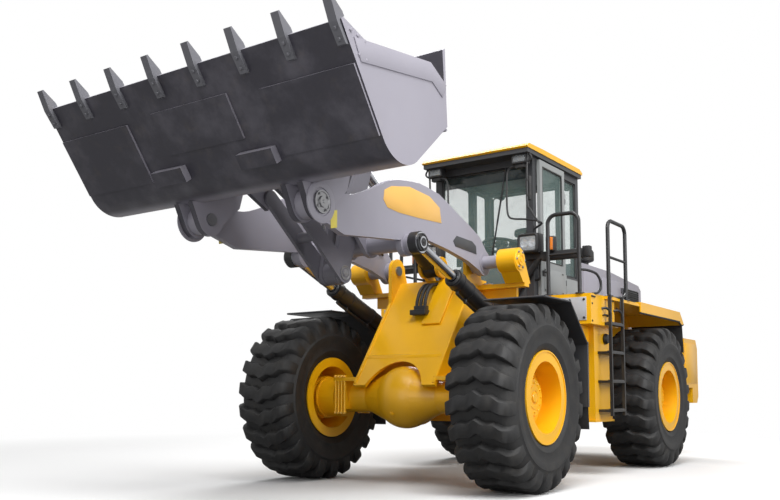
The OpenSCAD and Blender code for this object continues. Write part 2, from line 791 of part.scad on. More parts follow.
module steer_rod(flank) {
    a = [steer_base[0], flank * steer_base[1], steer_z];
    b = [steer_pin[0], flank * steer_pin[1], steer_z];
    d = a - b;
    color(steel) translate(b) rotate([0, 90, atan2(d[1], d[0])]) {
        translate([0, 0, 40]) cylinder(r = steer_rod_r, h = norm(d) - 400);
        rotate([0, 90, 0]) translate([0, 0, -30]) cylinder(r = 55, h = 60);
        rotate([0, 90, 0]) translate([0, 0, -45]) cylinder(r = steer_pin_r, h = 20);
    }
}

heel = [395, 110];
heel_r = 270;
back_top = [175, 617];
skid_t = 58;
guard_top = [638, 910];

// The bucket's outside, from its edge round the heel to the guard's top, t inside of it.
module bucket_outline(t) {
    polygon([[edge_u, floor_n + t], [heel[0], floor_n + t], heel, [heel[0] - heel_r + t, heel[1]],
        [back_top[0] + t, back_top[1]], guard_top + [t * 0.3, -t * 1.2], guard_top + [400, -300],
        [edge_u + 400 * min(t, 1), 0]]);
    intersection() {
        translate(heel) circle(heel_r - t, $fn = 96);
        translate(heel - [heel_r, heel_r]) square([heel_r, heel_r]);
    }
}

module bucket() {
    hw = bucket_w / 2;
    side_t = shell_t;
    color(grey) difference() {
        union() {
            slab(-hw + 2, hw - 2) bucket_frame() difference() {
                intersection() {
                    bucket_outline(0);
                    polygon([[-500, -500], [edge_u, -500], [edge_u, floor_n + shell_t], [700, 0],
                        guard_top, [-500, guard_top[1] + 50]]);
                }
                bucket_outline(shell_t);
            }
            both() slab(hw - side_t, hw) bucket_frame() {
                polygon([[edge_u, floor_n], [heel[0], floor_n], heel, [heel[0] - heel_r, heel[1]], back_top,
                    [420, 765], [617, 658], [1006, -103], [edge_u, floor_n + shell_t]]);
                intersection() {
                    translate(heel) circle(heel_r, $fn = 96);
                    translate(heel - [heel_r, heel_r]) square([heel_r, heel_r]);
                }
            }
            both() for (y = [tip_in - gap - ear_plate, tip_out + gap]) slab(y, y + ear_plate) bucket_frame() {
                circle(125);
                polygon([[-110, -60], [20, -124], [200, -95], [heel[0] - heel_r + 3, heel[1]],
                    [162, 470], [60, 480], [-60, 330]]);
            }
            both() {
                slab(tip_out + 70, hw - 12) bucket_frame() translate([heel[0] + 20, floor_n - wear_t])
                    square([edge_u - heel[0] - 280, wear_t + 1]);
                slab(tip_in - 220, tip_out + 10) bucket_frame() translate([heel[0] - 10, floor_n - skid_t])
                    square([110, skid_t + 1]);
                slab(hw - side_t - 12, hw) bucket_frame() polygon([[edge_u, floor_n], [edge_u - 300, floor_n],
                    [edge_u - 330, floor_n + 190], [edge_u - 210, floor_n + 190], [edge_u, floor_n + shell_t]]);
            }
            slab(-370, 370) bucket_frame() translate([heel[0] + 190, floor_n - wear_t])
                square([edge_u - heel[0] - 420, wear_t + 1]);
            both() slab(link_hw + seat_gap, link_hw + 40) bucket_frame() {
                rotate(ear_dir - curl) translate([ear_r, 0]) circle(80);
                polygon([[-100, 290], [heel[0] - heel_r + 3, 160], [165, 500], [20, 430]]);
            }
        }
        bar([tip_x, tip_z], boom_pin_r + run, -1000, 1000);
    }
}

module bucket_teeth() {
    span = bucket_w - tooth_w - 20;
    color(dark) for (i = [0 : teeth - 1]) {
        y = -span / 2 + i * span / (teeth - 1);
        slab(y - tooth_w / 2, y + tooth_w / 2) bucket_frame() polygon([[edge_u - 150, floor_n],
            [edge_u - 140, floor_n - 24], [edge_u, floor_n - 32], [tooth_u, floor_n - 10],
            [tooth_u, floor_n + 4], [edge_u + 30, floor_n + 52], [edge_u, floor_n + 52], [edge_u, floor_n]]);
    }
}

place() rear_frame();
place() rear_plates();
place() hitch_pins();
place() rear_axle();
place() engine_block();
place() hood();
place() hood_grilles();
place() counterweight();
place() rear_fenders();
place() cab_frame();
place() cab_roof();
place() cab_glass();
place() seat();
place() steering_column();
place() platforms();
place() ladders();
place() guard_rails();
place() headlamps();
place() work_lamps();
place() exhaust_stack();
place() door_left();
place() door_glass();
place() front_frame();
place() pivot_pins();
place() front_axle();
place() front_fenders();
place() boom();
place() linkage_pins();
place() rocker();
place() bucket_link();
place() tilt_barrel();
place() tilt_rod();
place() lift_barrels();
place() lift_rods();
place() bucket();
place() bucket_teeth();
place() steer_barrel(1);  // steer_barrel_left
place() steer_rod(1);  // steer_rod_left
place() steer_barrel(-1);  // steer_barrel_right
place() steer_rod(-1);  // steer_rod_right
place() tyre(axle_x, 1);  // tyre_front_left
place() tyre(axle_x, -1);  // tyre_front_right
place() tyre(-axle_x, 1);  // tyre_rear_left
place() tyre(-axle_x, -1);  // tyre_rear_right
place() rim(axle_x, 1);  // rim_front_left
place() rim(axle_x, -1);  // rim_front_right
place() rim(-axle_x, 1);  // rim_rear_left
place() rim(-axle_x, -1);  // rim_rear_right
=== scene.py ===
import json
import math

import bmesh
import bpy
from mathutils import Matrix, Vector


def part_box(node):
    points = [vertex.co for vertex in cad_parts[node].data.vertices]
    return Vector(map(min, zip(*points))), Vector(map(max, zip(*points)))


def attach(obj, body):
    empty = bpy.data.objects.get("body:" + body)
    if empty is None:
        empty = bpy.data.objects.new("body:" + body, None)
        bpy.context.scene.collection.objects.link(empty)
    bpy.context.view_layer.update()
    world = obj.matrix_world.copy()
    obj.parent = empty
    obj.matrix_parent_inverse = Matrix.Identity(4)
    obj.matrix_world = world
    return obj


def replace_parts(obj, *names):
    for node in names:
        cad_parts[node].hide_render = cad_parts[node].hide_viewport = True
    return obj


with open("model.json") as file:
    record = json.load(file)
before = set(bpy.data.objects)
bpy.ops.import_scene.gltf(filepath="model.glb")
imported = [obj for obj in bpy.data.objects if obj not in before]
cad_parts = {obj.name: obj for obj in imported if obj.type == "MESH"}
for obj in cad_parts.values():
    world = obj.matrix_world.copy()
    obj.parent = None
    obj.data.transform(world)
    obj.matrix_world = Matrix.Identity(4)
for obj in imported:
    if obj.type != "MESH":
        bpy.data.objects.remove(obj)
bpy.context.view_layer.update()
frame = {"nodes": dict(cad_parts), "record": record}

# The loader is measured in millimetres from its hitch pivot, X forward, Y to its left, Z up.
HITCH_X = sum(corner.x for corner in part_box("hitch_pins")) / 2
MM = 0.001
ORIGIN = Vector((0, 0, 0))
AHEAD, BACK, ACROSS, UP, DOWN = (1, 0, 0), (-1, 0, 0), (0, 1, 0), (0, 0, 1), (0, 0, -1)
AXLE_X, AXLE_Z, SIDE = 1650, 790, 1125
PIVOT, TIP = (1190, 2040), (3688, 2148)
ROCKER, LIFT, LIFT_BASE = (2600, 2290), (2478, 2035), (960, 1440)
ROCKER_TOP, ROCKER_LOW = (2385, 2810), (2730, 1805)
LIFT_Y, LIFT_BARREL, TILT_BARREL = 657, 1020, 749
BUCKET_HW, TEETH_SPAN, TEETH = 1430, 2778, 8
HOOD_Z, HOOD_BEND_X = 2320, -1960
CURL = math.radians(55)

# The camera that was fitted to the photograph; lengths in pixels are of its frame.
CAMERA, HEADING, PITCH = (8257.8, 4414.2, 819.9), 0.608325, 0.087636
PHOTO_W, FOCAL_PX, SHIFT_PX, SENSOR = 780, 863.2, 68, 36

# The floor keeps its shadow up to one distance and is white from the other, in metres. The shares of the
# white background that glossy rays see, and the sky's own light.
SHADOW_R, WHITE_R = 5.5, 11
FLOOR_GLOSS, SKY_GLOSS, SKY_LIGHT = 0.25, 0.75, 0.26


def at(x, y, z):
    """A point of the machine, in the frame's metres."""
    return Vector((HITCH_X + x * MM, y * MM, z * MM))


def points(*places):
    """Points of the machine from (x, y, z) places."""
    return [at(*place) for place in places]


def side_on(y, *places):
    """Points of an outline seen from the side: (x, z) places at one y."""
    return [at(x, y, z) for x, z in places]


def front_on(x, *places):
    """Points of an outline seen from the front: (y, z) places at one x."""
    return [at(x, y, z) for y, z in places]


def in_bucket(u, n, y):
    """A point of the bucket: u along its floor, n square to it, from the tip pin."""
    return at(TIP[0] + u * math.cos(CURL) - n * math.sin(CURL), y,
              TIP[1] + u * math.sin(CURL) + n * math.cos(CURL))


def bucket_on(y, *places):
    """Points of an outline in the bucket: (u, n) places at one y."""
    return [in_bucket(u, n, y) for u, n in places]


# Camera, light and floor.

def make_stage():
    """The camera at the photograph's angle, four soft lamps and the floor."""
    bpy.ops.object.camera_add(location=at(*CAMERA))
    camera = bpy.context.object
    level = math.cos(PITCH)
    look = Vector((-math.cos(HEADING) * level, -math.sin(HEADING) * level, math.sin(PITCH)))
    camera.rotation_euler = look.to_track_quat("-Z", "Y").to_euler()
    camera.data.lens = SENSOR * FOCAL_PX / PHOTO_W
    camera.data.sensor_width = SENSOR
    camera.data.shift_y = SHIFT_PX / PHOTO_W
    camera.data.clip_end = 300
    bpy.context.scene.camera = camera
    lamps = (("key_lamp", (7000, 5000, 12500), (500, 300, 1400), 8500, 2000),
             ("left_lamp", (2500, 10500, 5000), (500, 300, 1500), 6000, 640),
             ("front_lamp", (9500, 3000, 1800), (1500, 0, 1200), 5000, 120),
             ("rear_lamp", (-9000, -5000, 9000), (-1000, 0, 1200), 6500, 1000))
    for name, place, target, size, power in lamps:
        bpy.ops.object.light_add(type="AREA", location=at(*place))
        lamp = bpy.context.object
        lamp.name = name
        lamp.rotation_euler = (at(*target) - at(*place)).to_track_quat("-Z", "Y").to_euler()
        lamp.data.size = size * MM
        lamp.data.energy = power
    deselect()
    bpy.ops.mesh.primitive_plane_add(size=240)
    floor = bpy.context.object
    floor.name = "studio_floor"
    bpy.context.scene.view_settings.view_transform = "Standard"
    return floor


# Modelling by hand: each helper adds a primitive and shapes it.

def deselect():
    """Object mode with nothing chosen."""
    if bpy.context.mode != "OBJECT":
        bpy.ops.object.mode_set(mode="OBJECT")
    bpy.ops.object.select_all(action="DESELECT")


def pick(obj):
    """Object mode with this object alone chosen and active."""
    deselect()
    obj.select_set(True)
    bpy.context.view_layer.objects.active = obj
    return obj


def open_faces(obj, test):
    """Edit mode with the faces chosen whose centre and normal pass the test."""
    pick(obj)
    bpy.ops.object.mode_set(mode="EDIT")
    bpy.ops.mesh.select_mode(type="FACE")
    bpy.ops.mesh.select_all(action="DESELECT")
    bpy.ops.object.mode_set(mode="OBJECT")
    for face in obj.data.polygons:
        face.select = bool(test(face.center, face.normal))
    bpy.ops.object.mode_set(mode="EDIT")


def open_all(obj):
    """Edit mode with everything chosen."""
    pick(obj)
    bpy.ops.object.mode_set(mode="EDIT")
    bpy.ops.mesh.select_all(action="SELECT")


def close_edit(obj):
    """Back to object mode with all faces pointing outwards."""
    bpy.ops.mesh.select_all(action="SELECT")
    bpy.ops.mesh.normals_make_consistent(inside=False)
    bpy.ops.object.mode_set(mode="OBJECT")
    return obj


def worked(obj, kind, **settings):
    """Adds a modifier with its settings and applies it."""
    pick(obj)
    added = obj.modifiers.new(kind.lower(), kind)
    for key, value in settings.items():
        setattr(added, key, value)
    bpy.ops.object.modifier_apply(modifier=added.name)
    return obj


def soften(obj, width, segments=2, angle=30):
    """Rounds the edges that are sharper than the angle."""
    return worked(obj, "BEVEL", width=width * MM, segments=segments, limit_method="ANGLE",
                  angle_limit=math.radians(angle))


def block(low, high, soft=6, segments=2):
    """A box between two corners with rounded edges."""
    deselect()
    a, b = at(*low), at(*high)
    bpy.ops.mesh.primitive_cube_add(size=1, location=(a + b) / 2, scale=b - a)
    obj = bpy.context.object
    bpy.ops.object.transform_apply(location=True, rotation=True, scale=True)
    return soften(obj, soft, segments) if soft else obj


def bar(a, b, r, sides=24, soft=0):
    """A round bar from one point to another."""
    deselect()
    way = b - a
    bpy.ops.mesh.primitive_cylinder_add(vertices=sides, radius=r * MM, depth=way.length, location=(a + b) / 2,
                                        rotation=way.to_track_quat("Z", "Y").to_euler())
    obj = bpy.context.object
    bpy.ops.object.transform_apply(location=True, rotation=True, scale=True)
    return soften(obj, soft) if soft else obj


def turned(profile, centre, axis, steps=48):
    """A closed outline of (radius, height) spun round an axis."""
    deselect()
    bpy.ops.mesh.primitive_circle_add(vertices=len(profile), fill_type="NOTHING")
    obj = bpy.context.object
    for vertex, (r, h) in zip(obj.data.vertices, profile):
        vertex.co = (r * MM, 0, h * MM)
    open_all(obj)
    bpy.ops.mesh.spin(steps=steps, angle=math.tau, center=ORIGIN, axis=UP)
    bpy.ops.mesh.select_all(action="SELECT")
    bpy.ops.mesh.remove_doubles(threshold=0.0001)
    close_edit(obj)
    turn = Vector(axis).to_track_quat("Z", "Y").to_matrix().to_4x4()
    obj.data.transform(Matrix.Translation(centre) @ turn)
    return obj


def plate(outline, depth, soft=0, segments=2):
    """A flat outline thickened by a depth vector in millimetres."""
    deselect()
    bpy.ops.mesh.primitive_circle_add(vertices=len(outline), fill_type="NGON")
    obj = bpy.context.object
    for vertex, point in zip(obj.data.vertices, outline):
        vertex.co = point
    open_all(obj)
    bpy.ops.mesh.extrude_region_move(TRANSFORM_OT_translate={"value": Vector(depth) * MM})
    close_edit(obj)
    return soften(obj, soft, segments) if soft else obj


def tube(path, r, sides=12, fine=8):
    """A round tube along a smooth line through the path's points."""
    line = smooth_line(path, fine)
    deselect()
    bpy.ops.curve.primitive_nurbs_path_add()
    obj = bpy.context.object
    curve = obj.data
    curve.splines.clear()
    spline = curve.splines.new("POLY")
    spline.points.add(len(line) - 1)
    for point, place in zip(spline.points, line):
        point.co = (*place, 1)
    curve.bevel_depth = r * MM
    curve.bevel_resolution = sides // 4
    curve.use_fill_caps = True
    bpy.ops.object.convert(target="MESH")
    obj = bpy.context.object
    bpy.ops.object.transform_apply(location=True, rotation=True, scale=True)
    return obj


def smooth_line(path, fine):
    """Points along a smooth curve through the given ones."""
    ends = [path[0] * 2 - path[1]] + list(path) + [path[-1] * 2 - path[-2]]
    line = []
    for a, b, c, d in zip(ends, ends[1:], ends[2:], ends[3:]):
        for i in range(fine):
            t = i / fine
            line.append(0.5 * (2 * b + (c - a) * t + (2 * a - 5 * b + 4 * c - d) * t ** 2
                               + (3 * b - a - 3 * c + d) * t ** 3))
    return line + [path[-1]]


def copies(obj, moves):
    """The piece copied once for each move, every copy with its own mesh."""
    made = []
    for move in moves:
        twin = obj.copy()
        twin.data = obj.data.copy()
        twin.data.transform(move)
        bpy.context.collection.objects.link(twin)
        made.append(twin)
    bpy.data.objects.remove(obj)
    return made


MIRROR = Matrix.Scale(-1, 4, ACROSS)
BOTH = (Matrix.Identity(4), MIRROR)


def joined(parts):
    """The parts as one object."""
    deselect()
    for part in parts:
        part.select_set(True)
    bpy.context.view_layer.objects.active = parts[0]
    if len(parts) > 1:
        bpy.ops.object.join()
    return bpy.context.object


def repeated(obj, moves):
    """The shape set down once for each move, all in one mesh."""
    row = bmesh.new()
    for move in moves:
        twin = obj.data.copy()
        twin.transform(move)
        row.from_mesh(twin)
        bpy.data.meshes.remove(twin)
    row.to_mesh(obj.data)
    row.free()
    return obj


def both(parts):
    """The parts and their twins on the other flank."""
    return [repeated(joined(parts), BOTH)]


def bolts(places, axis, r=14, h=14):
    """Hexagon heads on washers, facing along an axis."""
    axis = Vector(axis)
    head = turned([(0, 0), (1.5 * r, 0), (1.5 * r, 0.25 * h), (1.1 * r, 0.25 * h), (1.1 * r, 0.85 * h),
                   (0.85 * r, h), (0, h)], ORIGIN, axis, steps=6)
    return [repeated(head, [Matrix.Translation(place) for place in places])]


def ring_of(count, r, centre, axis, start=0.0):
    """Points evenly round a circle about an axis."""
    turn = Vector(axis).to_track_quat("Z", "Y").to_matrix()
    angles = [start + i * math.tau / count for i in range(count)]
    return [centre + turn @ Vector((math.cos(angle), math.sin(angle), 0)) * r * MM for angle in angles]


def piece(name, parts, body, finish, smooth=35):
    """Joins the parts to one named piece that rides on a body."""
    obj = joined(parts)
    obj.name = name
    open_all(obj)
    close_edit(obj)
    bpy.ops.object.shade_smooth_by_angle(angle=math.radians(smooth))
    obj.data.materials.clear()
    obj.data.materials.append(finish)
    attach(obj, body)
    return obj


# Finishes.

class Wire:
    """A socket of a material's nodes; arithmetic on it adds Math nodes."""

    def __init__(self, tree, socket=None):
        self.tree, self.socket = tree, socket

    def node(self, kind, settings=None, inputs=None, out=0):
        """A new node: its settings first, then its sockets' values or links."""
        made = self.tree.nodes.new(kind)
        for key, value in (settings or {}).items():
            setattr(made, key, value)
        for key, value in (inputs or {}).items():
            if isinstance(value, Wire):
                self.tree.links.new(value.socket, made.inputs[key])
            else:
                made.inputs[key].default_value = value
        return Wire(self.tree, made.outputs[out])

    def math(self, operation, a, b):
        return self.node("ShaderNodeMath", {"operation": operation}, {0: a, 1: b})

    def __add__(self, other):
        return self.math("ADD", self, other)

    def __sub__(self, other):
        return self.math("SUBTRACT", self, other)

    def __rsub__(self, other):
        return self.math("SUBTRACT", other, self)

    def __mul__(self, other):
        return self.math("MULTIPLY", self, other)

    __radd__, __rmul__ = __add__, __mul__

    def noise(self, scale, detail=4.0, rough=0.55):
        return self.node("ShaderNodeTexNoise", None,
                         {"Vector": self, "Scale": scale, "Detail": detail, "Roughness": rough})

    def step(self, low, high):
        return self.node("ShaderNodeMapRange", {"interpolation_type": "SMOOTHSTEP"},
                         {"Value": self, "From Min": low, "From Max": high})

    def mixed(self, colour, other):
        """The colour turned to the other by this mask."""
        return self.node("ShaderNodeMix", {"data_type": "RGBA"}, {0: self, 6: colour, 7: other}, out=2)

    def height(self):
        return self.node("ShaderNodeSeparateXYZ", None, {0: self}, out=2)

    def wave(self, direction, scale, distortion=0.0):
        return self.node("ShaderNodeTexWave", {"bands_direction": direction},
                         {"Vector": self, "Scale": scale, "Distortion": distortion})

    def bump(self, strength, distance):
        """A normal raised by this height."""
        return self.node("ShaderNodeBump", None, {"Strength": strength, "Distance": distance, "Height": self})


def rgb(r, g, b):
    """A colour as seen on screen, in the linear values that shaders take."""
    return tuple(((c / 255 + 0.055) / 1.055) ** 2.4 for c in (r, g, b)) + (1,)


def shade(colour, share):
    """The colour made darker or lighter."""
    return tuple(min(1, c * share) for c in colour[:3]) + (1,)


def new_finish(name):
    """A bare material: its node tree's coordinates and its shader."""
    finish = bpy.data.materials.new(name)
    finish.use_nodes = True
    tree = finish.node_tree
    shader = tree.nodes["Principled BSDF"]
    place = Wire(tree).node("ShaderNodeTexCoord", out="Object")
    return finish, place, shader


def feed(shader, values):
    """Links or sets the shader's sockets."""
    for key, value in values.items():
        if isinstance(value, Wire):
            value.tree.links.new(value.socket, shader.inputs[key])
        else:
            shader.inputs[key].default_value = value


DUST = rgb(168, 150, 118)


def paint(name, colour, rough=0.34, dust=0.3, wear=0.25, bare=rgb(120, 112, 104), coat=0.35, painted_shade_facing=None):
    """Sprayed paint: slight drift of shade, orange peel, scuffs, dust low down and, where a direction is
    given, painted shade on the faces turned towards it.
    """
    finish, place, shader = new_finish(name)
    drift = place.noise(1.3, 3).step(0.3, 0.7)
    streak = place.noise(9, 6, 0.65).step(0.52, 0.78)
    speck = place.noise(140, 2).step(0.62, 0.72) * place.noise(5, 3).step(0.5, 0.72)
    low = 1 - place.height().step(0.15, 1.35)
    dirt = (low * place.noise(6, 6, 0.65).step(0.3, 0.75) + streak * 0.22) * dust
    tone = (drift * 0.6).mixed(colour, shade(colour, 0.86))
    # Painted shade: faces turned towards the given direction are darkened to a dark grey, by a varying depth.
    if painted_shade_facing:
        normal = place.node("ShaderNodeTexCoord", out="Normal")
        side = place.node("ShaderNodeVectorMath", {"operation": "DOT_PRODUCT"}, {0: normal, 1: painted_shade_facing}, out=1)
        shade_patch = place.noise(3, 5, 0.6).step(0.2, 0.6) * 0.25 + 0.7
        tone = (side.step(0.6, 0.85) * shade_patch).mixed(tone, rgb(42, 40, 50))
    tone = (speck * wear).mixed(tone, bare)
    tone = dirt.mixed(tone, DUST)
    peel = place.noise(420, 1) * 0.4 + place.noise(28, 2) * 0.6
    feed(shader, {"Base Color": tone, "Roughness": dirt * 0.5 + drift * 0.06 + rough,
                  "Normal": peel.bump(0.05, 0.004), "Coat Weight": (1 - dirt) * coat, "Coat Roughness": 0.12})
    return finish


def rubber(name, colour=rgb(29, 29, 30), dust=0.12):
    """Tyre and hose rubber: dull, finely grained, chalky with dust on its high parts."""
    finish, place, shader = new_finish(name)
    grain = place.noise(260, 3, 0.6)
    chalk = place.noise(7, 6, 0.7).step(0.42, 0.8) * dust
    tone = place.noise(2.2, 3).step(0.3, 0.7).mixed(colour, shade(colour, 0.7))
    tone = chalk.mixed(tone, rgb(112, 106, 96))
    feed(shader, {"Base Color": tone, "Roughness": chalk * 0.3 + 0.62, "Normal": grain.bump(0.22, 0.004)})
    return finish


def metal(name, colour, rough=0.25, scale=60):
    """Bare or plated metal with fine turning marks."""
    finish, place, shader = new_finish(name)
    marks = place.noise(scale, 5, 0.7)
    smear = place.noise(4, 4).step(0.4, 0.75)
    tone = (smear * 0.35).mixed(colour, shade(colour, 0.6))
    feed(shader, {"Base Color": tone, "Roughness": smear * 0.15 + marks * 0.1 + rough, "Metallic": 1.0,
                  "Normal": marks.bump(0.06, 0.002)})
    return finish


def plastic(name, colour, rough=0.5, grain=380):
    """Moulded plastic with a fine grain."""
    finish, place, shader = new_finish(name)
    pebble = place.noise(grain, 2)
    haze = place.noise(6, 4).step(0.45, 0.8)
    tone = (haze * 0.3).mixed(colour, rgb(110, 106, 100))
    feed(shader, {"Base Color": tone, "Roughness": haze * 0.15 + rough, "Normal": pebble.bump(0.12, 0.002)})
    return finish


def fabric(name, colour):
    """Woven seat cloth: two crossed sets of threads and a little lint."""
    finish, place, shader = new_finish(name)
    thread = place.wave("X", 160.0, 1.5) * 0.5 + place.wave("Y", 160.0, 1.5) * 0.5
    lint = place.noise(30, 5, 0.7).step(0.5, 0.8)
    tone = (thread * 0.5).mixed(colour, shade(colour, 1.9))
    tone = (lint * 0.2).mixed(tone, rgb(120, 116, 110))
    feed(shader, {"Base Color": tone, "Roughness": lint * 0.1 + 0.8, "Normal": thread.bump(0.3, 0.002),
                  "Sheen Weight": 0.2})
    return finish


def window(name, colour, alpha):
    """Tinted glass with a faint film of dust."""
    finish, place, shader = new_finish(name)
    film = place.noise(3.5, 5, 0.65).step(0.4, 0.85)
    tone = (film * 0.35).mixed(colour, rgb(205, 205, 198))
    feed(shader, {"Base Color": tone, "Roughness": film * 0.12 + 0.03, "Alpha": film * 0.08 + alpha,
                  "IOR": 1.5})
    return finish


def lens(name, colour, alpha=0.6):
    """Ribbed lamp lens."""
    finish, place, shader = new_finish(name)
    ribs = place.wave("Y", 30.0)
    tone = (ribs * 0.25).mixed(colour, shade(colour, 0.7))
    feed(shader, {"Base Color": tone, "Roughness": 0.08, "Alpha": alpha, "Normal": ribs.bump(0.5, 0.003),
                  "Coat Weight": 0.5})
    return finish


YELLOW = paint("yellow_paint", rgb(250, 186, 2), dust=0.06, wear=0.12, coat=0.2)
CAB_GREY = paint("cab_grey", rgb(146, 149, 149), rough=0.38, dust=0.1)
GREY = paint("grey_paint", rgb(158, 155, 166), rough=0.42, coat=0.15)
# The bucket's grey with painted shade on its underside, the faces that look down and forward.
BUCKET_SHADED = paint("bucket_paint", rgb(158, 155, 166), rough=0.45, coat=0.1,
                painted_shade_facing=(math.sin(CURL), 0, -math.cos(CURL)))
# Painted shade: the rocker and link get the boom's grey darkened, for the bucket's shadow that falls on them.
LINKAGE_SHADED = paint("linkage_painted_shade", rgb(106, 104, 112), rough=0.45, coat=0.1)
DARK = paint("dark_paint", rgb(58, 59, 62), rough=0.45, dust=0.12, coat=0.1)
BLACK = paint("black_paint", rgb(28, 28, 30), rough=0.42, dust=0.1, coat=0.1)
WORN = paint("edge_steel", rgb(112, 112, 118), rough=0.5, wear=0.6, bare=rgb(150, 146, 142), coat=0.0)
PANEL = paint("orange_panel", rgb(240, 186, 92), rough=0.4, dust=0.12)
LABEL = paint("pale_label", rgb(232, 214, 92), rough=0.5, dust=0.12)
PLATE_GREY = paint("plate_grey", rgb(176, 177, 180), rough=0.45, dust=0.15)
TYRE = rubber("tyre_rubber")
HOSE = rubber("hose_rubber", rgb(24, 24, 25), dust=0.1)
CHROME = metal("chrome_rod", rgb(205, 207, 212), 0.12)
STEEL = metal("plain_steel", rgb(150, 150, 152), 0.34)
PLASTIC = plastic("black_plastic", rgb(28, 28, 30))
TRIM = plastic("cab_trim", rgb(70, 71, 74), 0.6)
CLOTH = fabric("seat_cloth", rgb(38, 38, 42))
GLASS = window("cab_glass", rgb(158, 190, 184), 0.14)
VISOR = window("visor_tint", rgb(52, 66, 68), 0.72)
CLEAR = lens("clear_lens", rgb(226, 232, 236), 0.28)
AMBER = lens("amber_lens", rgb(238, 132, 22), 0.9)
RED = lens("red_lens", rgb(176, 22, 18), 0.9)
MIRROR_FACE = metal("mirror_face", rgb(214, 218, 222), 0.04)

SLOT_FINISH = {"yellow_paint": YELLOW, "grey_paint": GREY, "dark_paint": DARK, "black_paint": BLACK,
               "bare_steel": CHROME, "tyre_rubber": TYRE, "window_glass": GLASS, "black_plastic": PLASTIC,
               "cast_mass": DARK}
# The rocker and link take the grey with painted shade; the bucket takes its paint with painted shade
# underneath.
NODE_FINISH = {"pivot_pins": STEEL, "linkage_pins": STEEL, "hitch_pins": STEEL, "rocker": LINKAGE_SHADED,
               "bucket_link": LINKAGE_SHADED, "bucket_teeth": WORN, "bucket": BUCKET_SHADED, "door_left": CAB_GREY}
for row in frame["record"]["subparts"]:
    node = frame["nodes"][row["node"]]
    node.data.materials.clear()
    node.data.materials.append(NODE_FINISH.get(row["node"], SLOT_FINISH[row["material_slot"]]))


def background_rays(tree, gloss):
    """How far a ray shows the white background: camera and transmitted rays fully, glossy ones in part."""
    path = Wire(tree).node("ShaderNodeLightPath").socket.node.outputs
    seen = Wire(tree, path["Is Camera Ray"]) + Wire(tree, path["Is Glossy Ray"]) * gloss \
        + Wire(tree, path["Is Transmission Ray"])
    return seen.node("ShaderNodeMath", {"operation": "MINIMUM"}, {0: seen, 1: 1.0})


def floor_finish():
    """Pale floor that keeps the shadow near the loader and fades to white far off."""
    finish, place, shader = new_finish("studio_pale")
    tree = finish.node_tree
    far = place.node("ShaderNodeVectorMath", {"operation": "LENGTH"}, {0: place}, out=1)
    seen = background_rays(tree, FLOOR_GLOSS)
    tone = seen.mixed((0.16, 0.16, 0.16, 1), (0.88, 0.88, 0.88, 1))
    feed(shader, {"Base Color": tone, "Roughness": 0.9})
    glow = place.node("ShaderNodeEmission", None, {"Color": (1, 1, 1, 1), "Strength": 1.0})
    white = far.step(SHADOW_R, WHITE_R) * seen
    blend = place.node("ShaderNodeMixShader", None, {0: white, 1: Wire(tree, shader.outputs[0]), 2: glow})
    tree.links.new(blend.socket, tree.nodes["Material Output"].inputs["Surface"])
    return finish


def make_world():
    """White behind the loader, dimmer where it lights it."""
    world = bpy.data.worlds.new("studio")
    bpy.context.scene.world = world
    world.use_nodes = True
    tree = world.node_tree
    strength = background_rays(tree, SKY_GLOSS) * (1 - SKY_LIGHT) + SKY_LIGHT
    background = tree.nodes["Background"]
    background.inputs["Color"].default_value = (1, 1, 1, 1)
    tree.links.new(strength.socket, background.inputs["Strength"])


studio_floor = make_stage()
studio_floor.data.materials.append(floor_finish())
make_world()
WHEELS = (("front_left", AXLE_X, 1), ("front_right", AXLE_X, -1),
          ("rear_left", -AXLE_X, 1), ("rear_right", -AXLE_X, -1))


# Wheels.

TREAD_R, GROOVE_R, LUGS = 788, 730, 22
LUG_LINE = ((0, 0), (70, 44), (150, 40), (215, 78), (262, 92), (284, 100), (292, 104))
LUG_TOP = ((0, TREAD_R), (215, TREAD_R - 3), (250, 774), (274, 742), (290, 692), (294, 660))
LUG_FOOT = ((0, GROOVE_R - 8), (200, 716), (236, 696), (260, 664), (284, 612), (294, 590))


def along(table, y):
    """A value read off a table of (distance, value) pairs."""
    for (a, p), (b, q) in zip(table, table[1:]):
        if y <= b:
            return p + (q - p) * (y - a) / (b - a)
    return table[-1][1]


def make_lug():
    """One wavy lug right across the tread, at the wheel's own origin, its axle along Z."""
    steps = (20, 70, 110, 150, 190, 215, 240, 262, 276, 288)
    stations = sorted([-y for y in steps] + [0] + list(steps))
    deselect()
    bpy.ops.mesh.primitive_grid_add(x_subdivisions=4, y_subdivisions=len(stations) - 1)
    lug = bpy.context.object
    for i, vertex in enumerate(lug.data.vertices):
        row, column = divmod(i, 5)
        y = stations[row]
        top = along(LUG_TOP, abs(y))
        foot = along(LUG_FOOT, abs(y))
        half = (78, 58, -58, -78, 78)[column] * (1 if abs(y) < 200 else 0.94)
        r = (foot, top, top, foot, foot)[column]
        turn = (along(LUG_LINE, abs(y)) + half) / TREAD_R
        vertex.co = Vector((r * math.cos(turn), r * math.sin(turn), y)) * MM
    open_all(lug)
    bpy.ops.mesh.remove_doubles(threshold=0.0005)
    bpy.ops.mesh.fill_holes(sides=0)
    close_edit(lug)
    return soften(lug, 7, 1, 35)


def wheel_place(x, flank):
    """From a wheel's own origin, with its axle along Z and outward, to its place."""
    turn = Matrix.Rotation(math.radians(-90 * flank), 4, "X")
    return Matrix.Translation(at(x, flank * SIDE, AXLE_Z)) @ turn


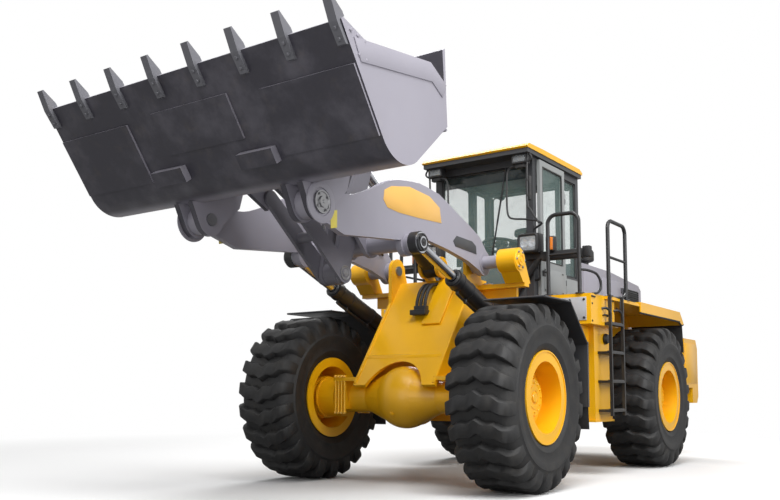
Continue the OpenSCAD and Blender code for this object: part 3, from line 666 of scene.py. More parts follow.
def make_tyres():
    """Carcass with moulded sidewall rings and lugs, in place of the plain solids."""
    wall = [(320, 243), (392, 246), (404, 262), (440, 274), (446, 279), (456, 279), (462, 277), (540, 290),
            (560, 296), (596, 297), (604, 290), (640, 284), (690, 262), (716, 238), (GROOVE_R, 205),
            (GROOVE_R + 2, 80)]
    profile = wall + [(r, -h) for r, h in reversed(wall)]
    carcass = turned(profile, ORIGIN, UP, 88)
    spin = [Matrix.Rotation(i * math.tau / LUGS, 4, "Z") for i in range(LUGS)]
    carcass = joined([carcass, repeated(make_lug(), spin)])
    tyres = copies(carcass, [wheel_place(x, flank) for name, x, flank in WHEELS])
    for (name, x, flank), tyre in zip(WHEELS, tyres):
        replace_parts(piece("tread_" + name, [tyre], "wheel_" + name, TYRE, 40), "tyre_" + name)


def make_wheel_details():
    """Nuts round the hub flange, screws and rings on the planetary cap, the lock ring and the valve."""
    rings = (([(0, 150), (46, 150), (46, 158), (38, 164), (0, 164)], 24),
             ([(60, 150), (96, 150), (96, 155), (60, 155)], 40),
             ([(300, 236), (318, 236), (318, 250), (310, 256), (300, 256)], 72),
             ([(380, 262), (388, 262), (388, 250), (392, 252), (390, 268), (378, 268)], 72))
    for name, x, flank in WHEELS:
        out = Vector((0, flank, 0))
        hub = at(x, flank * SIDE, AXLE_Z)
        parts = bolts(ring_of(20, 181, hub + out * 90 * MM, out), out, 13, 20)
        parts += bolts(ring_of(12, 122, hub + out * 150 * MM, out), out, 8, 10)
        parts += [turned(profile, hub, out, steps) for profile, steps in rings]
        piece("wheel_nuts_" + name, parts, "wheel_" + name, YELLOW)
        stem = hub + Vector((0.20, 0, 0.20)) + out * 0.06
        valve = [bar(stem, stem + out * 0.09, 7, 12, 2), bar(stem + out * 0.085, stem + out * 0.105, 9, 8, 2)]
        piece("valve_" + name, valve, "wheel_" + name, STEEL)


def make_axle_details():
    """Pad studs and nuts, carrier flange, drain plug and arm rings of both axles."""
    axles = (("front_half", AXLE_X, (575, 610, 645, 680), 955, 975),
             ("rear_half", -AXLE_X, (300, 330, 360, 382), 990, None))
    carrier = [(120, 150), (262, 150), (262, 176), (230, 200), (150, 232), (95, 300), (95, 330), (60, 330)]
    for body, x, pad, stud_top, nut_z in axles:
        studs = []
        for y in pad:
            for end in (-188, 188):
                foot = at(x + end, y, 655)
                studs.append(bar(foot, at(x + end, y, stud_top), 13, 14))
                studs += bolts([foot], DOWN, 17, 22)
                if nut_z:
                    studs += bolts([at(x + end, y, nut_z)], UP, 17, 22)
        parts = both(studs)
        parts.append(turned(carrier, at(x, 0, AXLE_Z), BACK, 48))
        parts += bolts(ring_of(16, 246, at(x - 176, 0, AXLE_Z), BACK), BACK, 11, 12)
        parts += bolts([at(x + 240, 0, AXLE_Z - 150)], (0.85, 0, -0.5), 18, 14)
        parts += both([turned([(150, 0), (200, 0), (200, 14), (150, 14)], at(x, 905, AXLE_Z), ACROSS, 40)])
        piece(body + "_axle_bolts", parts, body, YELLOW)


# Front frame, boom and bucket.

def on_slope(x, lift):
    """The height of the front frame's sloped face at x, lifted off it."""
    return 1918 - (x - 1145) * (1918 - 900) / (1885 - 1145) + lift


def disc_cap(centre, axis, r, h):
    """A pin's end cap: a stepped disc with a raised rim and a grease point."""
    return turned([(0, 0), (r, 0), (r, h * 0.5), (r * 0.86, h * 0.5), (r * 0.82, h * 0.3), (r * 0.5, h * 0.3),
                   (r * 0.46, h * 0.8), (r * 0.16, h * 0.8), (r * 0.12, h), (0, h)], centre, axis, 36)


def pin_at(pin, y):
    """The point of a cross pin's axis at y."""
    return at(pin[0], y, pin[1])


def make_frame_details():
    """Crease, flanges and hose channel of the sloped face, boom pivot caps, hose block and pipes."""
    crease = plate(side_on(-430, (1678, on_slope(1678, -1)), (1694, on_slope(1690, 7)),
                           (1706, on_slope(1704, 1)), (1704, on_slope(1704, -1))), (0, 860, 0), 1)
    flange = plate(side_on(412, (1150, on_slope(1150, -2)), (1158, on_slope(1150, 9)),
                           (1880, on_slope(1874, 9)), (1874, on_slope(1874, -2))), (0, 28, 0), 3)
    channel = plate(side_on(60, (1150, on_slope(1150, 4)), (1166, on_slope(1150, 16)),
                            (1496, on_slope(1480, 16)), (1480, on_slope(1480, 4))), (0, 200, 0), 4)
    collar = [(40, 0), (98, 0), (98, 6), (92, 12), (60, 12), (56, 24), (40, 24)]
    pads = [turned(collar, pin_at(PIVOT, 930), ACROSS, 44), disc_cap(pin_at(PIVOT, 944), ACROSS, 52, 14),
            flange, block((975, 470, 1845), (1060, 560, 1857), 4)]
    piece("tower_pads", [crease, channel] + both(pads), "front_half", YELLOW)
    keepers = bolts(ring_of(6, 77, pin_at(PIVOT, 942), ACROSS), ACROSS, 9, 10)
    keepers += bolts([at(x, y, 1857) for x in (998, 1038) for y in (492, 538)], UP, 12, 12)
    piece("tower_bolts", both(keepers), "front_half", STEEL)
    manifold = [block((1405, -75, 1560), (1490, 95, 1610), 6), block((1385, -55, 1595), (1450, 75, 1650), 6)]
    piece("hose_block", manifold, "front_half", BLACK)
    for i, y in enumerate((-35, 10, 55)):
        path = side_on(y, (1425, 1640), (1412, 1705), (1365, 1795), (1300, 1850), (1225, 1872), (1158, 1878))
        piece(f"frame_pipe_{i}", [tube(path, 16, 12, 8)], "front_half", HOSE)


def make_boom_details():
    """Blank panels, labels, painted shadow sheets, pin caps, edge welds and pipes of the boom, and the caps
    of rocker and link.
    """
    face = 567
    panel = [(2825, 2338), (2812, 2418), (2715, 2466), (2457, 2512), (2150, 2490), (1985, 2420), (1955, 2290),
             (2306, 2275), (2602, 2270), (2771, 2284)]
    label = [(3489, 2131), (3407, 2150), (3407, 2020), (3478, 2004)]
    # A dark sheet on each side of the boom that stands for a cast shadow on it: painted shadow.
    shade_patch = [(1760, 2165), (1700, 2220), (1420, 2210), (1350, 2175), (1340, 2100), (1720, 2120)]
    for name, outline, thick, slot, finish in (("boom_panels", panel, 2.5, "grey_paint", PANEL),
                                               ("boom_labels", label, 2.5, "grey_paint", LABEL),
                                               ("boom_painted_shadows", shade_patch, 3, "dark_paint", DARK)):
        piece(name, both([plate(side_on(face, *outline), (0, thick, 0), 1)]), "boom", finish)
    caps = both([disc_cap(pin_at(TIP, 653), ACROSS, 82, 26), disc_cap(pin_at(ROCKER, 136), ACROSS, 66, 20)])
    caps += both(bolts(ring_of(4, 64, pin_at(TIP, 664), ACROSS, 0.6), ACROSS, 8, 10))
    piece("boom_pin_caps", caps, "boom", STEEL)
    edge = [(1480, 2353), (1990, 2538), (2300, 2570), (2600, 2538), (2810, 2473), (3008, 2376), (3228, 2296),
            (3560, 2260)]
    collar = [(85, 0), (112, 0), (108, 12), (88, 22), (85, 22)]
    seams = [tube(side_on(540, *edge), 9, 8, 4), turned(collar, at(2370, 513, 2085), (0, -1, 0), 40)]
    piece("boom_welds", both(seams), "boom", GREY)
    pipes = []
    for y, lift in ((495, 0), (470, 30)):
        pipes.append(tube(points((1330, y, 2190 + lift), (1500, y, 2270 + lift), (1900, y, 2380 + lift),
                                 (2200, y, 2410 + lift), (2330, y - 40, 2300 + lift * 2 / 3),
                                 (2370, y - 60, 2190)), 12, 12, 8))
    clamps = [block((x - 18, 455, z), (x + 18, 513, z + 70), 4)
              for x, z in ((1600, 2272), (1900, 2362), (2180, 2386))]
    piece("boom_pipes", both(pipes + clamps), "boom", BLACK)
    caps = both([disc_cap(pin_at(ROCKER_TOP, 97), ACROSS, 46, 12),
                 turned([(42, 0), (86, 0), (82, 6), (46, 6)], pin_at(ROCKER_LOW, 83), ACROSS, 36)])
    piece("rocker_caps", caps, "rocker", STEEL)
    piece("link_caps", both([disc_cap(pin_at(ROCKER_LOW, 118), ACROSS, 62, 14)]), "link", STEEL)


def barrel_dress(base, tip, r, length, y, side):
    """Gland rings and bolts, and a clamped pipe above or below a cylinder's barrel."""
    a = pin_at(base, y)
    way = (pin_at(tip, y) - a).normalized()
    up = Vector((-way.z, 0, way.x)) * side

    def spot(along_mm, off_mm=0):
        return a + way * along_mm * MM + up * off_mm * MM

    seal = [(r - 30, 0), (r - 6, 0), (r - 6, 12), (r - 14, 20), (r - 30, 20)]
    parts = [turned([(r, 0), (r + 8, 0), (r + 8, 16), (r, 16)], spot(length - 88), way, 40),
             turned(seal, spot(length), way, 40)]
    parts += bolts(ring_of(8, r - 16, spot(length), way), way, 7, 14)
    path = [spot(160, r - 4), spot(180, r + 18), spot(220, r + 26), spot(length - 160, r + 26),
            spot(length - 110, r + 14), spot(length - 92, r - 4)]
    parts.append(tube(path, 13, 12, 6))
    for share in (0.4, 0.75):
        clamp = length * share
        parts.append(turned([(r, -14), (r + 5, -14), (r + 5, 14), (r, 14)], spot(clamp), way, 40))
        parts.append(bar(spot(clamp, r - 2), spot(clamp, r + 42), 15, 12, 3))
    return parts


def make_cylinder_details():
    """Glands, pipes and pin caps of the lift and tilt cylinders."""
    pair = barrel_dress(LIFT_BASE, LIFT, 78, LIFT_BARREL, LIFT_Y, -1)
    pair.append(disc_cap(pin_at(LIFT_BASE, LIFT_Y + 35), ACROSS, 74, 20))
    piece("lift_pipes", both(pair), "lift_barrels", BLACK)
    tilt = barrel_dress(PIVOT, ROCKER_TOP, 95, TILT_BARREL, 0, 1)
    piece("tilt_pipes", tilt, "tilt_barrel", BLACK)
    caps = [disc_cap(pin_at(LIFT, LIFT_Y + 45), ACROSS, 74, 26)]
    caps += bolts(ring_of(3, 58, pin_at(LIFT, LIFT_Y + 58), ACROSS, 0.5), ACROSS, 9, 10)
    caps.append(turned([(80, -38), (92, -38), (92, 38), (80, 38)], pin_at(LIFT, LIFT_Y), ACROSS, 44))
    piece("lift_eye_caps", both(caps), "lift_rods", BLACK)


def make_bucket_details():
    """Tooth and side bolts, ear rings, guard ribs and lip, and the side bands."""
    floor_n, edge_u = -160, 1130
    under = (in_bucket(0, -1, 0) - in_bucket(0, 0, 0)).normalized()
    spots = []
    for i in range(TEETH):
        y = -TEETH_SPAN / 2 + i * TEETH_SPAN / (TEETH - 1)
        spots += [in_bucket(edge_u - 36, floor_n - 30, y), in_bucket(edge_u - 104, floor_n - 27, y)]
    piece("tooth_bolts", bolts(spots, under, 11, 12), "bucket", WORN)
    side = bucket_on(BUCKET_HW, (1050, -110), (1000, -60), (950, -10), (900, -110), (850, -60))
    ring = [(54, 0), (150, 0), (150, 10), (128, 16), (100, 16), (96, 8), (54, 8)]
    trim = both([turned(ring, pin_at(TIP, 641), ACROSS, 44)] + bolts(side, ACROSS, 10, 9))
    trim += [plate(bucket_on(y - 10, (120, 330), (60, 560), (172, 640), (160, 330)), (0, 20, 0), 3)
             for y in (-700, 0, 700)]
    trim.append(plate(bucket_on(-1420, (180, 612), (150, 622), (148, 600), (176, 590)), (0, 2840, 0), 3))
    trim += both([plate(bucket_on(BUCKET_HW, (1006, -103), (617, 658), (420, 765), (368, 668), (500, 600),
                                  (858, -118)), (0, 7, 0), 2)])
    piece("bucket_trim", trim, "bucket", GREY)


# Cab.

def loop_line(corners, round_by):
    """A closed line through four corners with rounded turns."""
    line = []
    for i, corner in enumerate(corners):
        before, after = corners[i - 1], corners[(i + 1) % len(corners)]
        a = (before - corner).normalized() * round_by * MM
        b = (after - corner).normalized() * round_by * MM
        line += [corner + a * (1 - t) ** 2 + b * t ** 2 for t in (0, 0.3, 0.7, 1)]
    return line + [line[0]]


def gasket(corners, r=9, round_by=45):
    """A closed tube through the corners."""
    return tube(loop_line(corners, round_by), r, 8, 1)


def wall_x(x, hw, z0, z1):
    """Corners of a window that faces ahead, from -hw to hw."""
    return front_on(x, (-hw, z0), (hw, z0), (hw, z1), (-hw, z1))


def wall_y(y, x0, x1, z0, z1):
    """Corners of a window that faces sideways."""
    return side_on(y, (x0, z0), (x1, z0), (x1, z1), (x0, z1))


def make_cab_glazing():
    """Rubber seals, the tinted band and the wiper."""
    seals = [gasket(wall_x(142, 507, 1958, 3207)), gasket(wall_x(-1024, 507, 2158, 3207)),
             gasket(wall_y(-574, -547, 87, 2128, 3207))]
    seals += both([gasket(wall_y(574, -947, -638, 2128, 3207))])
    piece("window_seals", seals, "rear_half", PLASTIC)
    piece("door_seal", [gasket(wall_y(622, -482, 12, 2208, 3202))], "door", PLASTIC)
    band = plate(wall_x(138.4, 505, 3075, 3208), (2, 0, 0), 0.6)
    piece("visor_band", [band], "rear_half", VISOR)
    pivot, tip = at(158, 279, 3235), at(152, 157, 2620)
    way = (tip - pivot).normalized()
    top, low = tip - way * 0.42, tip + way * 0.34
    rear, fore = Vector((0.012, 0, 0)), Vector((0.002, 0, 0))
    parts = [turned([(0, -20), (24, -20), (24, 2), (16, 8), (0, 8)], pivot, AHEAD, 24),
             tube([pivot, pivot + way * 0.2, pivot + way * 0.42, tip], 7, 8, 3),
             tube([top - Vector((0.004, 0, 0)), tip, low], 5, 8, 3),
             plate([top - rear, low - rear, low - fore, top - fore], (0, 8, 0), 1)]
    piece("front_wiper", parts, "rear_half", PLASTIC)


def make_roof_details():
    """Pressed ribs of the roof and its work lamps."""
    ribs = [block((-900, y - 30, 3389), (-100, y + 30, 3396), 5) for y in (-420, -140, 140, 420)]
    piece("roof_ribs", ribs, "rear_half", YELLOW)
    rear_lamp = at(-1089, 430, 3240)
    bezel = [(30, -60), (46, -40), (54, 0), (54, 14), (47, 14), (44, 2), (30, 2)]
    housings = [gasket(front_on(321, (434, 3199), (586, 3199), (586, 3286), (434, 3286)), 9, 14),
                block((250, 455, 3150), (310, 565, 3197), 8), turned(bezel, rear_lamp, BACK, 32)]
    lenses = [block((316, 444, 3209), (330, 576, 3276), 5, 3),
              turned([(0, 3), (45, 3), (45, 8), (25, 14), (0, 16)], rear_lamp, BACK, 32)]
    piece("roof_lamp_housings", both(housings), "rear_half", PLASTIC)
    piece("roof_lamp_lenses", both(lenses), "rear_half", CLEAR)


def make_mirrors():
    """Two bent tubes at each front corner, from the roof's rim down to the post, that carry a slim mirror."""
    outer = [(612, 3296), (640, 3240), (580, 3196), (424, 3171), (372, 3136), (357, 3035), (357, 2750),
             (379, 2652), (440, 2622), (558, 2605), (700, 2572)]
    inner = [(600, 3296), (590, 3173), (587, 3003), (591, 2761), (624, 2697), (700, 2572)]
    tubes = []
    for line, r in ((outer, 10), (inner, 11)):
        path = front_on(300, *line) + points((262, 726, 2548), (210, 650, 2528), (150, 585, 2518))
        tubes.append(tube(path, r, 12, 6))
    tubes.append(block((140, 584, 2470), (172, 598, 2560), 4))
    piece("mirror_hoops", both(tubes), "rear_half", BLACK)
    head = block((258, 582, 2800), (292, 622, 3060), 12, 3)
    clips = [block((284, 578, z), (312, 600, z + 26), 4) for z in (2840, 3000)]
    piece("mirror_heads", both([head] + clips), "rear_half", PLASTIC)
    face = block((254, 588, 2812), (260, 616, 3048), 2)
    piece("mirror_faces", both([face]), "rear_half", MIRROR_FACE)


def make_door_details():
    """Fittings and panel of the left door, the posts' grab bars and the cab's lower panels."""
    parts = [tube(front_on(15, (632, 2080), (668, 2090), (674, 2150), (668, 2205), (632, 2215)), 9, 10, 5),
             block((-15, 629, 2040), (50, 642, 2100), 5),
             block((62, 600, 2060), (79, 628, 2120), 3)]
    parts += bolts([at(x, 634, z) for x in (-460, -10) for z in (1900, 2110)], ACROSS, 7, 6)
    piece("door_fittings", parts, "door", PLASTIC)
    piece("door_panel", [block((-480, 629, 1880), (10, 634, 2130), 3)], "door", CAB_GREY)
    grab = tube(points((135, 588, 1990), (140, 632, 2000), (142, 645, 2060), (142, 645, 2300),
                       (140, 632, 2345), (135, 588, 2352)), 13, 12, 5)
    piece("post_grab_bars", both([grab]), "rear_half", BLACK)
    right = block((-545, -597, 1760), (90, -589.5, 2090), 4)
    corner = block((-1020, 589.5, 1730), (-640, 596, 2095), 4)
    piece("cab_lower_panels", [right] + both([corner]), "rear_half", CAB_GREY)
    sill = block((169.5, -500, 1740), (176, 500, 1925), 4)
    piece("cab_front_panel", [sill], "rear_half", DARK)


def make_cab_inside():
    """Dash, console, levers, pedals, mat and headlining."""
    mat = block((-960, -540, 1700), (110, 540, 1712), 5)
    ribs = [block((x, -500, 1711), (x + 22, 500, 1716), 2) for x in range(-500, 80, 60)]
    piece("floor_mat", [mat] + ribs, "rear_half", HOSE)
    console = block((-820, -520, 1700), (-230, -310, 2270), 30, 3)
    open_faces(console, lambda c, n: n.z > 0.9)
    bpy.ops.mesh.inset(thickness=0.02, depth=-0.012)
    close_edit(console)
    left = block((-800, 300, 1712), (-420, 400, 2190), 25, 3)
    dash = plate(side_on(-470, (125, 1960), (125, 2160), (60, 2190), (-30, 2120), (-10, 1960)),
                 (0, 940, 0), 18, 3)
    lean = (-0.24, 0, 0.97)
    boss = turned([(0, 0), (70, 0), (78, 20), (60, 46), (30, 54), (0, 54)], at(-252, 0, 2468), lean, 32)
    boot = [(52, 0), (110, 0), (100, 60), (72, 210), (56, 360), (52, 360)]
    cover = turned(boot, at(-70, 0, 1712), lean, 28)
    piece("cab_consoles", [console, left, dash, cover, boss], "rear_half", TRIM)
    screen = block((-40, -440, 2230), (-10, -260, 2400), 8, 3)
    stalk = tube(side_on(-350, (40, 2160), (10, 2220), (-8, 2290)), 12, 10, 4)
    knob = [(0, 0), (15, 0), (21, 25), (20, 50), (12, 66), (0, 70)]
    levers = []
    for x, y in ((-420, -380), (-420, -450), (-520, -415)):
        levers.append(bar(at(x, y, 2255), at(x + 12, y, 2360), 7, 10, 1))
        levers.append(turned(knob, at(x + 12, y, 2355), (0.1, 0, 1), 20))
    for y in (-150, 130, 210):
        levers.append(plate(side_on(y, (20, 1735), (-35, 1860), (-48, 1852), (6, 1730)), (0, 75, 0), 4))
        levers.append(bar(at(0, y + 37, 1795), at(50, y + 37, 1720), 9, 10, 1))
    piece("cab_controls", [screen, stalk] + levers, "rear_half", PLASTIC)
    lining = block((-940, -505, 3262), (85, 505, 3289), 16, 3)
    piece("headlining", [lining], "rear_half", TRIM)


CLOTH_FRAMES = 20


def swell(obj, rounds, push):
    """A padded form: crowned faces and rounded sides by subdivision and a push along the normals."""
    open_all(obj)
    bpy.ops.mesh.subdivide(number_cuts=rounds)
    worked(close_edit(obj), "SUBSURF", levels=1, render_levels=1)
    low = [min(v.co[i] for v in obj.data.vertices) for i in range(3)]
    high = [max(v.co[i] for v in obj.data.vertices) for i in range(3)]
    ways = [vertex.normal.copy() for vertex in obj.data.vertices]
    for vertex, way in zip(obj.data.vertices, ways):
        share = [2 * (vertex.co[i] - low[i]) / (high[i] - low[i]) - 1 for i in range(3)]
        fall = sorted(max(0.0, 1 - s * s) for s in share)
        vertex.co += way * push * MM * (fall[1] * fall[2])
    return obj


def inflate(obj, cap):
    """Cloth under pressure, capped, so that the cover pulls in at its seams."""
    worked(obj, "REMESH", mode="VOXEL", voxel_size=0.012)
    start = [vertex.co.copy() for vertex in obj.data.vertices]
    cover = obj.modifiers.new("cover", "CLOTH")
    cover.settings.use_pressure = True
    cover.settings.uniform_pressure_force = 4
    cover.settings.effector_weights.gravity = 0
    cover.point_cache.frame_start, cover.point_cache.frame_end = 1, CLOTH_FRAMES
    for frame_number in range(1, CLOTH_FRAMES + 1):
        bpy.context.scene.frame_set(frame_number)
    bpy.ops.object.modifier_apply(modifier=cover.name)
    bpy.context.scene.frame_set(1)
    for vertex, first in zip(obj.data.vertices, start):
        move = vertex.co - first
        if move.length > cap * MM:
            vertex.co = first + move.normalized() * cap * MM
    return worked(obj, "SUBSURF", levels=1, render_levels=1)


def cushion(outline, depth, cap):
    """A pad of the outline's shape, swollen and inflated up to the cap."""
    return inflate(swell(plate(outline, depth, 22, 2), 2, 10), cap)


def make_seat():
    """Padded cushion, back and head rest with piping, on a bellows base, in place of the plain seat."""
    base = cushion(side_on(-215, (-742, 2096), (-290, 2096), (-284, 2150), (-300, 2182), (-742, 2176)),
                   (0, 430, 0), 12)
    back = cushion(side_on(-205, (-690, 2206), (-742, 2196), (-852, 2620), (-806, 2628)), (0, 410, 0), 12)
    rest = cushion(side_on(-130, (-820, 2660), (-868, 2652), (-884, 2750), (-840, 2760)), (0, 260, 0), 8)
    pads = []
    for name, pad in (("seat_cushion", base), ("seat_back", back), ("seat_head_rest", rest)):
        pads.append(piece(name, [pad], "rear_half", CLOTH, 60))
    seam = points((-735, -208, 2142), (-300, -208, 2142), (-300, 208, 2142), (-735, 208, 2142))
    piece("seat_piping", [gasket(seam, 5, 60)], "rear_half", TRIM)
    parts = []
    for i in range(7):
        dx, dy, z = 14 * (i % 2), 12 * (i % 2), 1712 + 44 * i
        parts.append(block((-690 + dx, -165 + dy, z), (-340 - dx, 165 - dy, z + 48), 12, 2))
    parts.append(block((-745, -222, 2018), (-300, 222, 2094), 18, 3))
    parts.append(plate(side_on(-210, (-752, 2190), (-770, 2194), (-892, 2640), (-874, 2644)), (0, 420, 0), 8))
    parts += both([bar(at(-848, 70, 2590), at(-868, 70, 2690), 8, 10, 1)])
    for y in (255, -255):
        arm = side_on(y - 28, (-760, 2330), (-440, 2352), (-432, 2385), (-760, 2385))
        parts.append(plate(arm, (0, 56, 0), 12, 3))
        parts.append(bar(at(-770, y, 2340), at(-790, y * 0.86, 2300), 14, 12, 2))
    piece("seat_base", parts, "rear_half", PLASTIC)
    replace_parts(pads[0], "seat")


# Lamps, hood, decks and rear.

def make_lamps():
    """Headlamps with bowls and beams, indicators and tail lamps."""
    shell = block((174, 474, 2248), (296, 711, 2456), 30, 4)
    open_faces(shell, lambda c, n: n.x > 0.9)
    bpy.ops.mesh.inset(thickness=0.008, depth=0)
    bpy.ops.transform.translate(value=(-0.004, 0, 0))
    close_edit(shell)
    bowl = [(0, 2), (12, 3), (36, 12), (41, 20), (44, 20), (44, 0), (0, 0)]
    bowls = []
    for y in (550, 636):
        bowls.append(turned(bowl, at(292, y, 2352), AHEAD, 32))
        bowls.append(turned([(0, 0), (9, 0), (9, 16), (5, 22), (0, 22)], at(293, y, 2352), AHEAD, 20))
    lenses = [block((312, 500, 2274), (318, 685, 2430), 3, 2)]
    shells = [shell, gasket(front_on(310, (492, 2266), (693, 2266), (693, 2438), (492, 2438)), 17, 30),
              block((176, 705, 2168), (240, 1150, 2262), 10),
              block((182, 762, 2252), (262, 858, 2412), 14, 3),
              bar(at(200, 360, 1805), at(200, 682, 2222), 33, 20),
              turned([(24, 0), (64, 0), (64, 12), (40, 22), (24, 22)], at(230, 360, 1805), AHEAD, 32),
              block((176, 1146, 2170), (244, 1224, 2280), 8),
              block((-3704, 842, 1192), (-3690, 1058, 1308), 4)]
    amber = [block((256, 774, 2266), (276, 846, 2398), 9, 3),
             block((-3708, 955, 1202), (-3694, 1048, 1298), 5)]
    red = [block((-3708, 852, 1202), (-3694, 945, 1298), 5)]
    piece("lamp_shells", both(shells), "rear_half", PLASTIC)
    piece("lamp_bowls", both(bowls), "rear_half", MIRROR_FACE)
    piece("lamp_lenses", both(lenses), "rear_half", CLEAR)
    piece("amber_lenses", both(amber), "rear_half", AMBER)
    piece("red_lenses", both(red), "rear_half", RED)


def hood_top(x):
    """The height of the hood's top, which falls behind its bend."""
    return HOOD_Z if x > HOOD_BEND_X else HOOD_Z - (HOOD_BEND_X - x) * 70 / 1050


def make_hood_details():
    """Side doors with seams and handles, louvres, rear grille, pre-cleaner and stack shield."""
    doors, dark = [], []
    for x0, x1 in ((-2340, -1700), (-1660, -1120)):
        z1 = hood_top(x0) - 70
        doors.append(plate(wall_y(599, x0, x1, 1430, z1), (0, 10, 0), 5))
        dark.append(block((x1 - 130, 608, 1700), (x1 - 60, 619, 1740), 4))
        for z in (1560, z1 - 140):
            dark.append(bar(at(x0 + 12, 612, z), at(x0 + 12, 612, z + 70), 9, 12, 2))
    doors.append(plate(wall_y(599, -3040, -2400, 1580, 1870), (0, 10, 0), 5))
    gutter = side_on(-596, (-1100, 2318), (-2000, 2316), (-2000, 2324), (-1100, 2326))
    doors.append(plate(gutter, (0, 40, 0), 2))
    piece("hood_doors", both(doors), "rear_half", GREY)
    for i in range(9):
        z = 1915 + 27 * i
        slat = front_on(-2935, (612, z), (628, z - 9), (628, z - 5), (612, z + 9))
        dark.append(plate(slat, (520, 0, 0), 1))
    dark.append(gasket(wall_y(616, -2945, -2405, 1905, 2155), 8, 20))
    dark = both(dark)
    for i in range(17):
        z = 1590 + 31 * i
        slat = side_on(-505, (-3138, z), (-3158, z - 12), (-3158, z - 7), (-3138, z + 10))
        dark.append(plate(slat, (0, 1010, 0), 1))
    dark.append(gasket(wall_x(-3146, 520, 1570, 2110), 13, 40))
    dark += [bar(at(-3150, y, 1572), at(-3150, y, 2108), 9, 10) for y in (-170, 170)]
    piece("hood_louvres", dark, "rear_half", PLASTIC)
    bowl = [(0, 0), (50, 0), (52, 130), (110, 150), (118, 165), (118, 260), (105, 285), (60, 300), (0, 304)]
    cleaner = [turned(bowl, at(-1900, 300, HOOD_Z - 4), UP, 40),
               turned([(50, 20), (62, 20), (62, 44), (50, 44)], at(-1900, 300, HOOD_Z), UP, 32)]
    piece("pre_cleaner", cleaner, "rear_half", PLASTIC)
    stack = at(-1560, -330, HOOD_Z)
    shield = [turned([(74, 40), (90, 44), (90, 420), (74, 424)], stack, UP, 40),
              turned([(60, 545), (76, 545), (78, 565), (60, 566)], stack, UP, 36),
              turned([(70, -3), (130, -3), (130, 9), (112, 14), (70, 14)], stack, UP, 36)]
    shield += bolts(ring_of(6, 112, stack + Vector((0, 0, 0.013)), UP), UP, 8, 8)
    bead = [(90, 0), (94, 3), (94, 12), (90, 15)]
    shield += [turned(bead, stack + Vector((0, 0, 0.07 + 0.028 * i)), UP, 40) for i in range(12)]
    piece("stack_shield", shield, "rear_half", DARK)
    seams = [block((-3096, -560, 2186), (-3060, 560, 2200), 3)]
    for x in (-1640, -2060, -2500):
        z = hood_top(x)
        seams.append(plate(side_on(-590, (x - 8, z - 2), (x + 8, z - 2), (x + 8, z + 3), (x - 8, z + 3)),
                           (0, 1180, 0), 1))
    piece("hood_seams", seams, "rear_half", DARK)


def stud_field(x0, x1, y0, y1, z, pitch):
    """Raised anti-slip studs in staggered rows."""
    stud = turned([(0, 0), (16, 0), (11, 5), (6, 3), (0, 3)], ORIGIN, UP, 8)
    rows, columns = int((x1 - x0) / pitch) + 1, int((y1 - y0) / pitch) + 1
    return [repeated(stud, [Matrix.Translation(at(x0 + i * pitch, y0 + (j + i % 2 / 2) * pitch, z))
                            for i in range(rows) for j in range(columns)])]


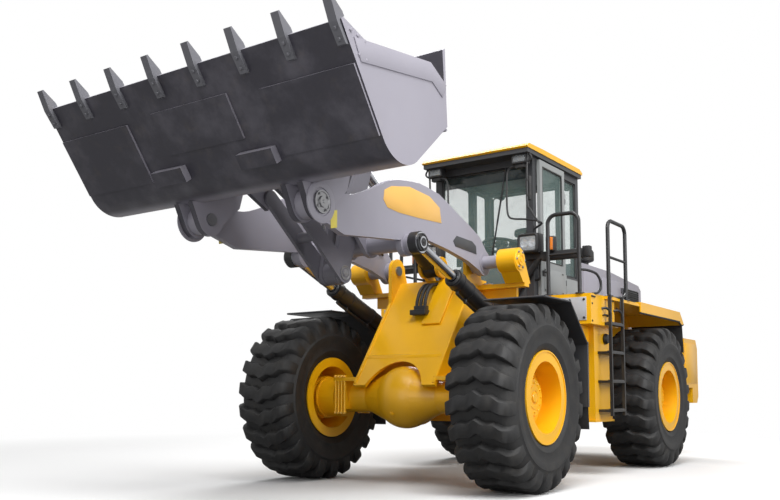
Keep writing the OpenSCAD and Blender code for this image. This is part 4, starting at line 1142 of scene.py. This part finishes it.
def make_deck_details():
    """Tread plates with studs, the box's cover plate, hinges, handles, caps, rails and ladder grips."""
    treads = [block((-990, 660, 1798), (-450, 1275, 1804), 2), block((-415, 655, 1798), (285, 1235, 1804), 2)]
    studs = stud_field(-970, -480, 690, 1230, 1803, 62) + stud_field(-390, 270, 680, 1190, 1803, 62)
    treads.append(block((-2380, 680, 1818), (-1060, 1240, 1824), 2))
    studs += stud_field(-2350, -1090, 720, 1190, 1823, 90)
    piece("deck_treads", both(treads + studs), "rear_half", DARK)
    cover = block((299, 690, 1535), (307, 1205, 1765), 3)
    piece("box_plates", both([cover]), "rear_half", PLATE_GREY)
    hard = bolts([at(307, y, z) for y in (715, 1180) for z in (1560, 1740)], AHEAD, 9, 8)
    hard.append(tube(points((-120, 1249, 1600), (-120, 1275, 1605), (-60, 1278, 1605), (0, 1275, 1605),
                            (0, 1249, 1600)), 8, 10, 4))
    for x in (-300, 200):
        hard.append(bar(at(x, 1254, 1770), at(x + 90, 1254, 1770), 9, 12, 2))
    hard += bolts([at(x, 1250, z) for x in (-400, 270) for z in (1530, 1700)], ACROSS, 8, 7)
    filler = [(0, 0), (52, 0), (56, 18), (44, 40), (20, 44), (0, 44)]
    hard.append(turned(filler, at(-250, 1169, 1380), ACROSS, 32))
    foot = [(20, 0), (46, 0), (46, 9), (30, 14), (20, 14)]
    for y in (800, 1130):
        hard.append(turned(foot, at(280, y, 1801), UP, 28))
        hard += bolts(ring_of(4, 36, at(280, y, 1809), UP, 0.8), UP, 5, 5)
    hard += [turned(foot, at(x, 1268, 1801), UP, 28) for x in (-640, -140)]
    piece("deck_fittings", both(hard), "rear_half", BLACK)
    rails = [tube(front_on(280, (800, 2210), (965, 2210), (1130, 2210)), 14, 12, 2),
             tube(side_on(1268, (-640, 2210), (-390, 2210), (-140, 2210)), 14, 12, 2)]
    front = ((280, 1140, 2040), (205, 1190, 2036), (128, 1245, 2004), (84, 1268, 1930), (86, 1268, 1860),
             (140, 1258, 1815), (215, 1236, 1800))
    side = ((-640, 1268, 2040), (-618, 1282, 1930), (-560, 1290, 1855), (-420, 1288, 1815),
            (-210, 1270, 1796))
    handles = (((20, 1247, 1668), (-8, 1290, 1672), (-48, 1308, 1640), (-72, 1308, 1560)),
               ((-310, 1247, 1668), (-338, 1290, 1672), (-384, 1308, 1640), (-410, 1308, 1560)))
    rails += [tube(points(*line), 13, 12, 6) for line in (front, side, *handles)]
    piece("mid_rails", both(rails), "rear_half", BLACK)
    grips = []
    for i in range(4):
        z = 665 + i * 290
        for x in range(-390, -60, 44):
            grips.append(plate(side_on(1268, (x, z - 1), (x + 22, z - 1), (x + 18, z + 6), (x + 4, z + 6)),
                               (0, 46, 0), 1))
    straps = [block((x, 1286, 1690), (x + 40, 1296, 1790), 3) for x in (-428, -90)]
    piece("ladder_grips", both(grips + straps), "rear_half", DARK)


def make_fender_details():
    """Rolled edges, stays and rubber flaps of the fenders."""
    line = [(1710, 1626), (1500, 1626), (1200, 1626), (1168, 1612), (830, 1290), (806, 1260), (806, 900),
            (806, 702)]
    roll = [tube(side_on(y, *line), 9, 8, 3) for y in (840, 1410)]
    roll.append(tube(front_on(1710, (842, 1626), (1125, 1626), (1408, 1626)), 9, 8, 2))
    stays = [block((780, y, 1180), (801, y + 60, 1300), 3) for y in (860, 1060)]
    piece("front_fender_edges", both(roll + stays), "front_half", DARK)
    flap = plate(side_on(850, (798, 800), (794, 790), (772, 500), (780, 500)), (0, 550, 0), 1.5)
    piece("front_flaps", both([flap]), "front_half", HOSE)
    row = bolts([at(797, y, 770) for y in (900, 1030, 1160, 1290, 1370)], BACK, 8, 8)
    piece("front_flap_bolts", both(row), "front_half", STEEL)
    edge = [(-1010, 1702), (-1700, 1702), (-2390, 1702), (-2420, 1698), (-2520, 1662), (-2592, 1674)]
    piece("rear_fender_lips", both([tube(side_on(1292, *edge), 11, 8, 4)]), "rear_half", HOSE)
    flap = plate(side_on(640, (-2586, 1690), (-2594, 1686), (-2640, 1330), (-2632, 1330)), (0, 640, 0), 1.5)
    piece("rear_flaps", both([flap]), "rear_half", HOSE)


def make_rear_details():
    """Reflectors, blank plate, tow pin, lifting eyes, counterweight ledges, frame bolts and the hitch cap."""
    reflector = block((-3705, 640, 1235), (-3698, 800, 1275), 2)
    piece("reflectors", both([reflector]), "rear_half", RED)
    blank = block((-3706, -260, 1220), (-3699, 260, 1340), 3)
    piece("blank_plate", [blank], "rear_half", PLATE_GREY)
    pin = [(0, -420), (24, -420), (30, -400), (30, 0), (44, 6), (44, 26), (30, 34), (0, 34)]
    handle = front_on(-3570, (-26, 1118), (-34, 1180), (0, 1196), (34, 1180), (26, 1118))
    eye = [(20, -14), (48, -14), (52, 0), (48, 14), (20, 14)]
    parts = [turned(pin, at(-3570, 0, 1090), UP, 28), tube(handle, 8, 10, 5)]
    parts += both([turned(eye, at(-3380, 850, 1565), ACROSS, 28)])
    piece("tow_pin", parts, "rear_half", STEEL)
    ledges = both([block((-3640, 1149, 960), (-3140, 1156, 1480), 6)])
    ledges.append(block((-3706, -820, 1395), (-3696, 820, 1425), 4))
    piece("weight_ledges", ledges, "rear_half", YELLOW)
    spots = side_on(370, (-520, 1330), (-640, 1330), (-1250, 1280), (-1400, 1280), (-2250, 900), (-2400, 900),
                    (-2550, 900), (-2900, 900), (-2900, 1200))
    piece("frame_bolts", both(bolts(spots, ACROSS, 13, 12)), "rear_half", YELLOW)
    cap = [(0, 0), (44, 0), (58, 4), (58, 12), (30, 20), (0, 20)]
    piece("hitch_caps", [turned(cap, at(0, 0, 1385), UP, 28)], "rear_half", STEEL)


make_tyres()
make_wheel_details()
make_axle_details()
make_frame_details()
make_boom_details()
make_cylinder_details()
make_bucket_details()
make_cab_glazing()
make_roof_details()
make_mirrors()
make_door_details()
make_cab_inside()
make_seat()
make_lamps()
make_hood_details()
make_deck_details()
make_fender_details()
make_rear_details()
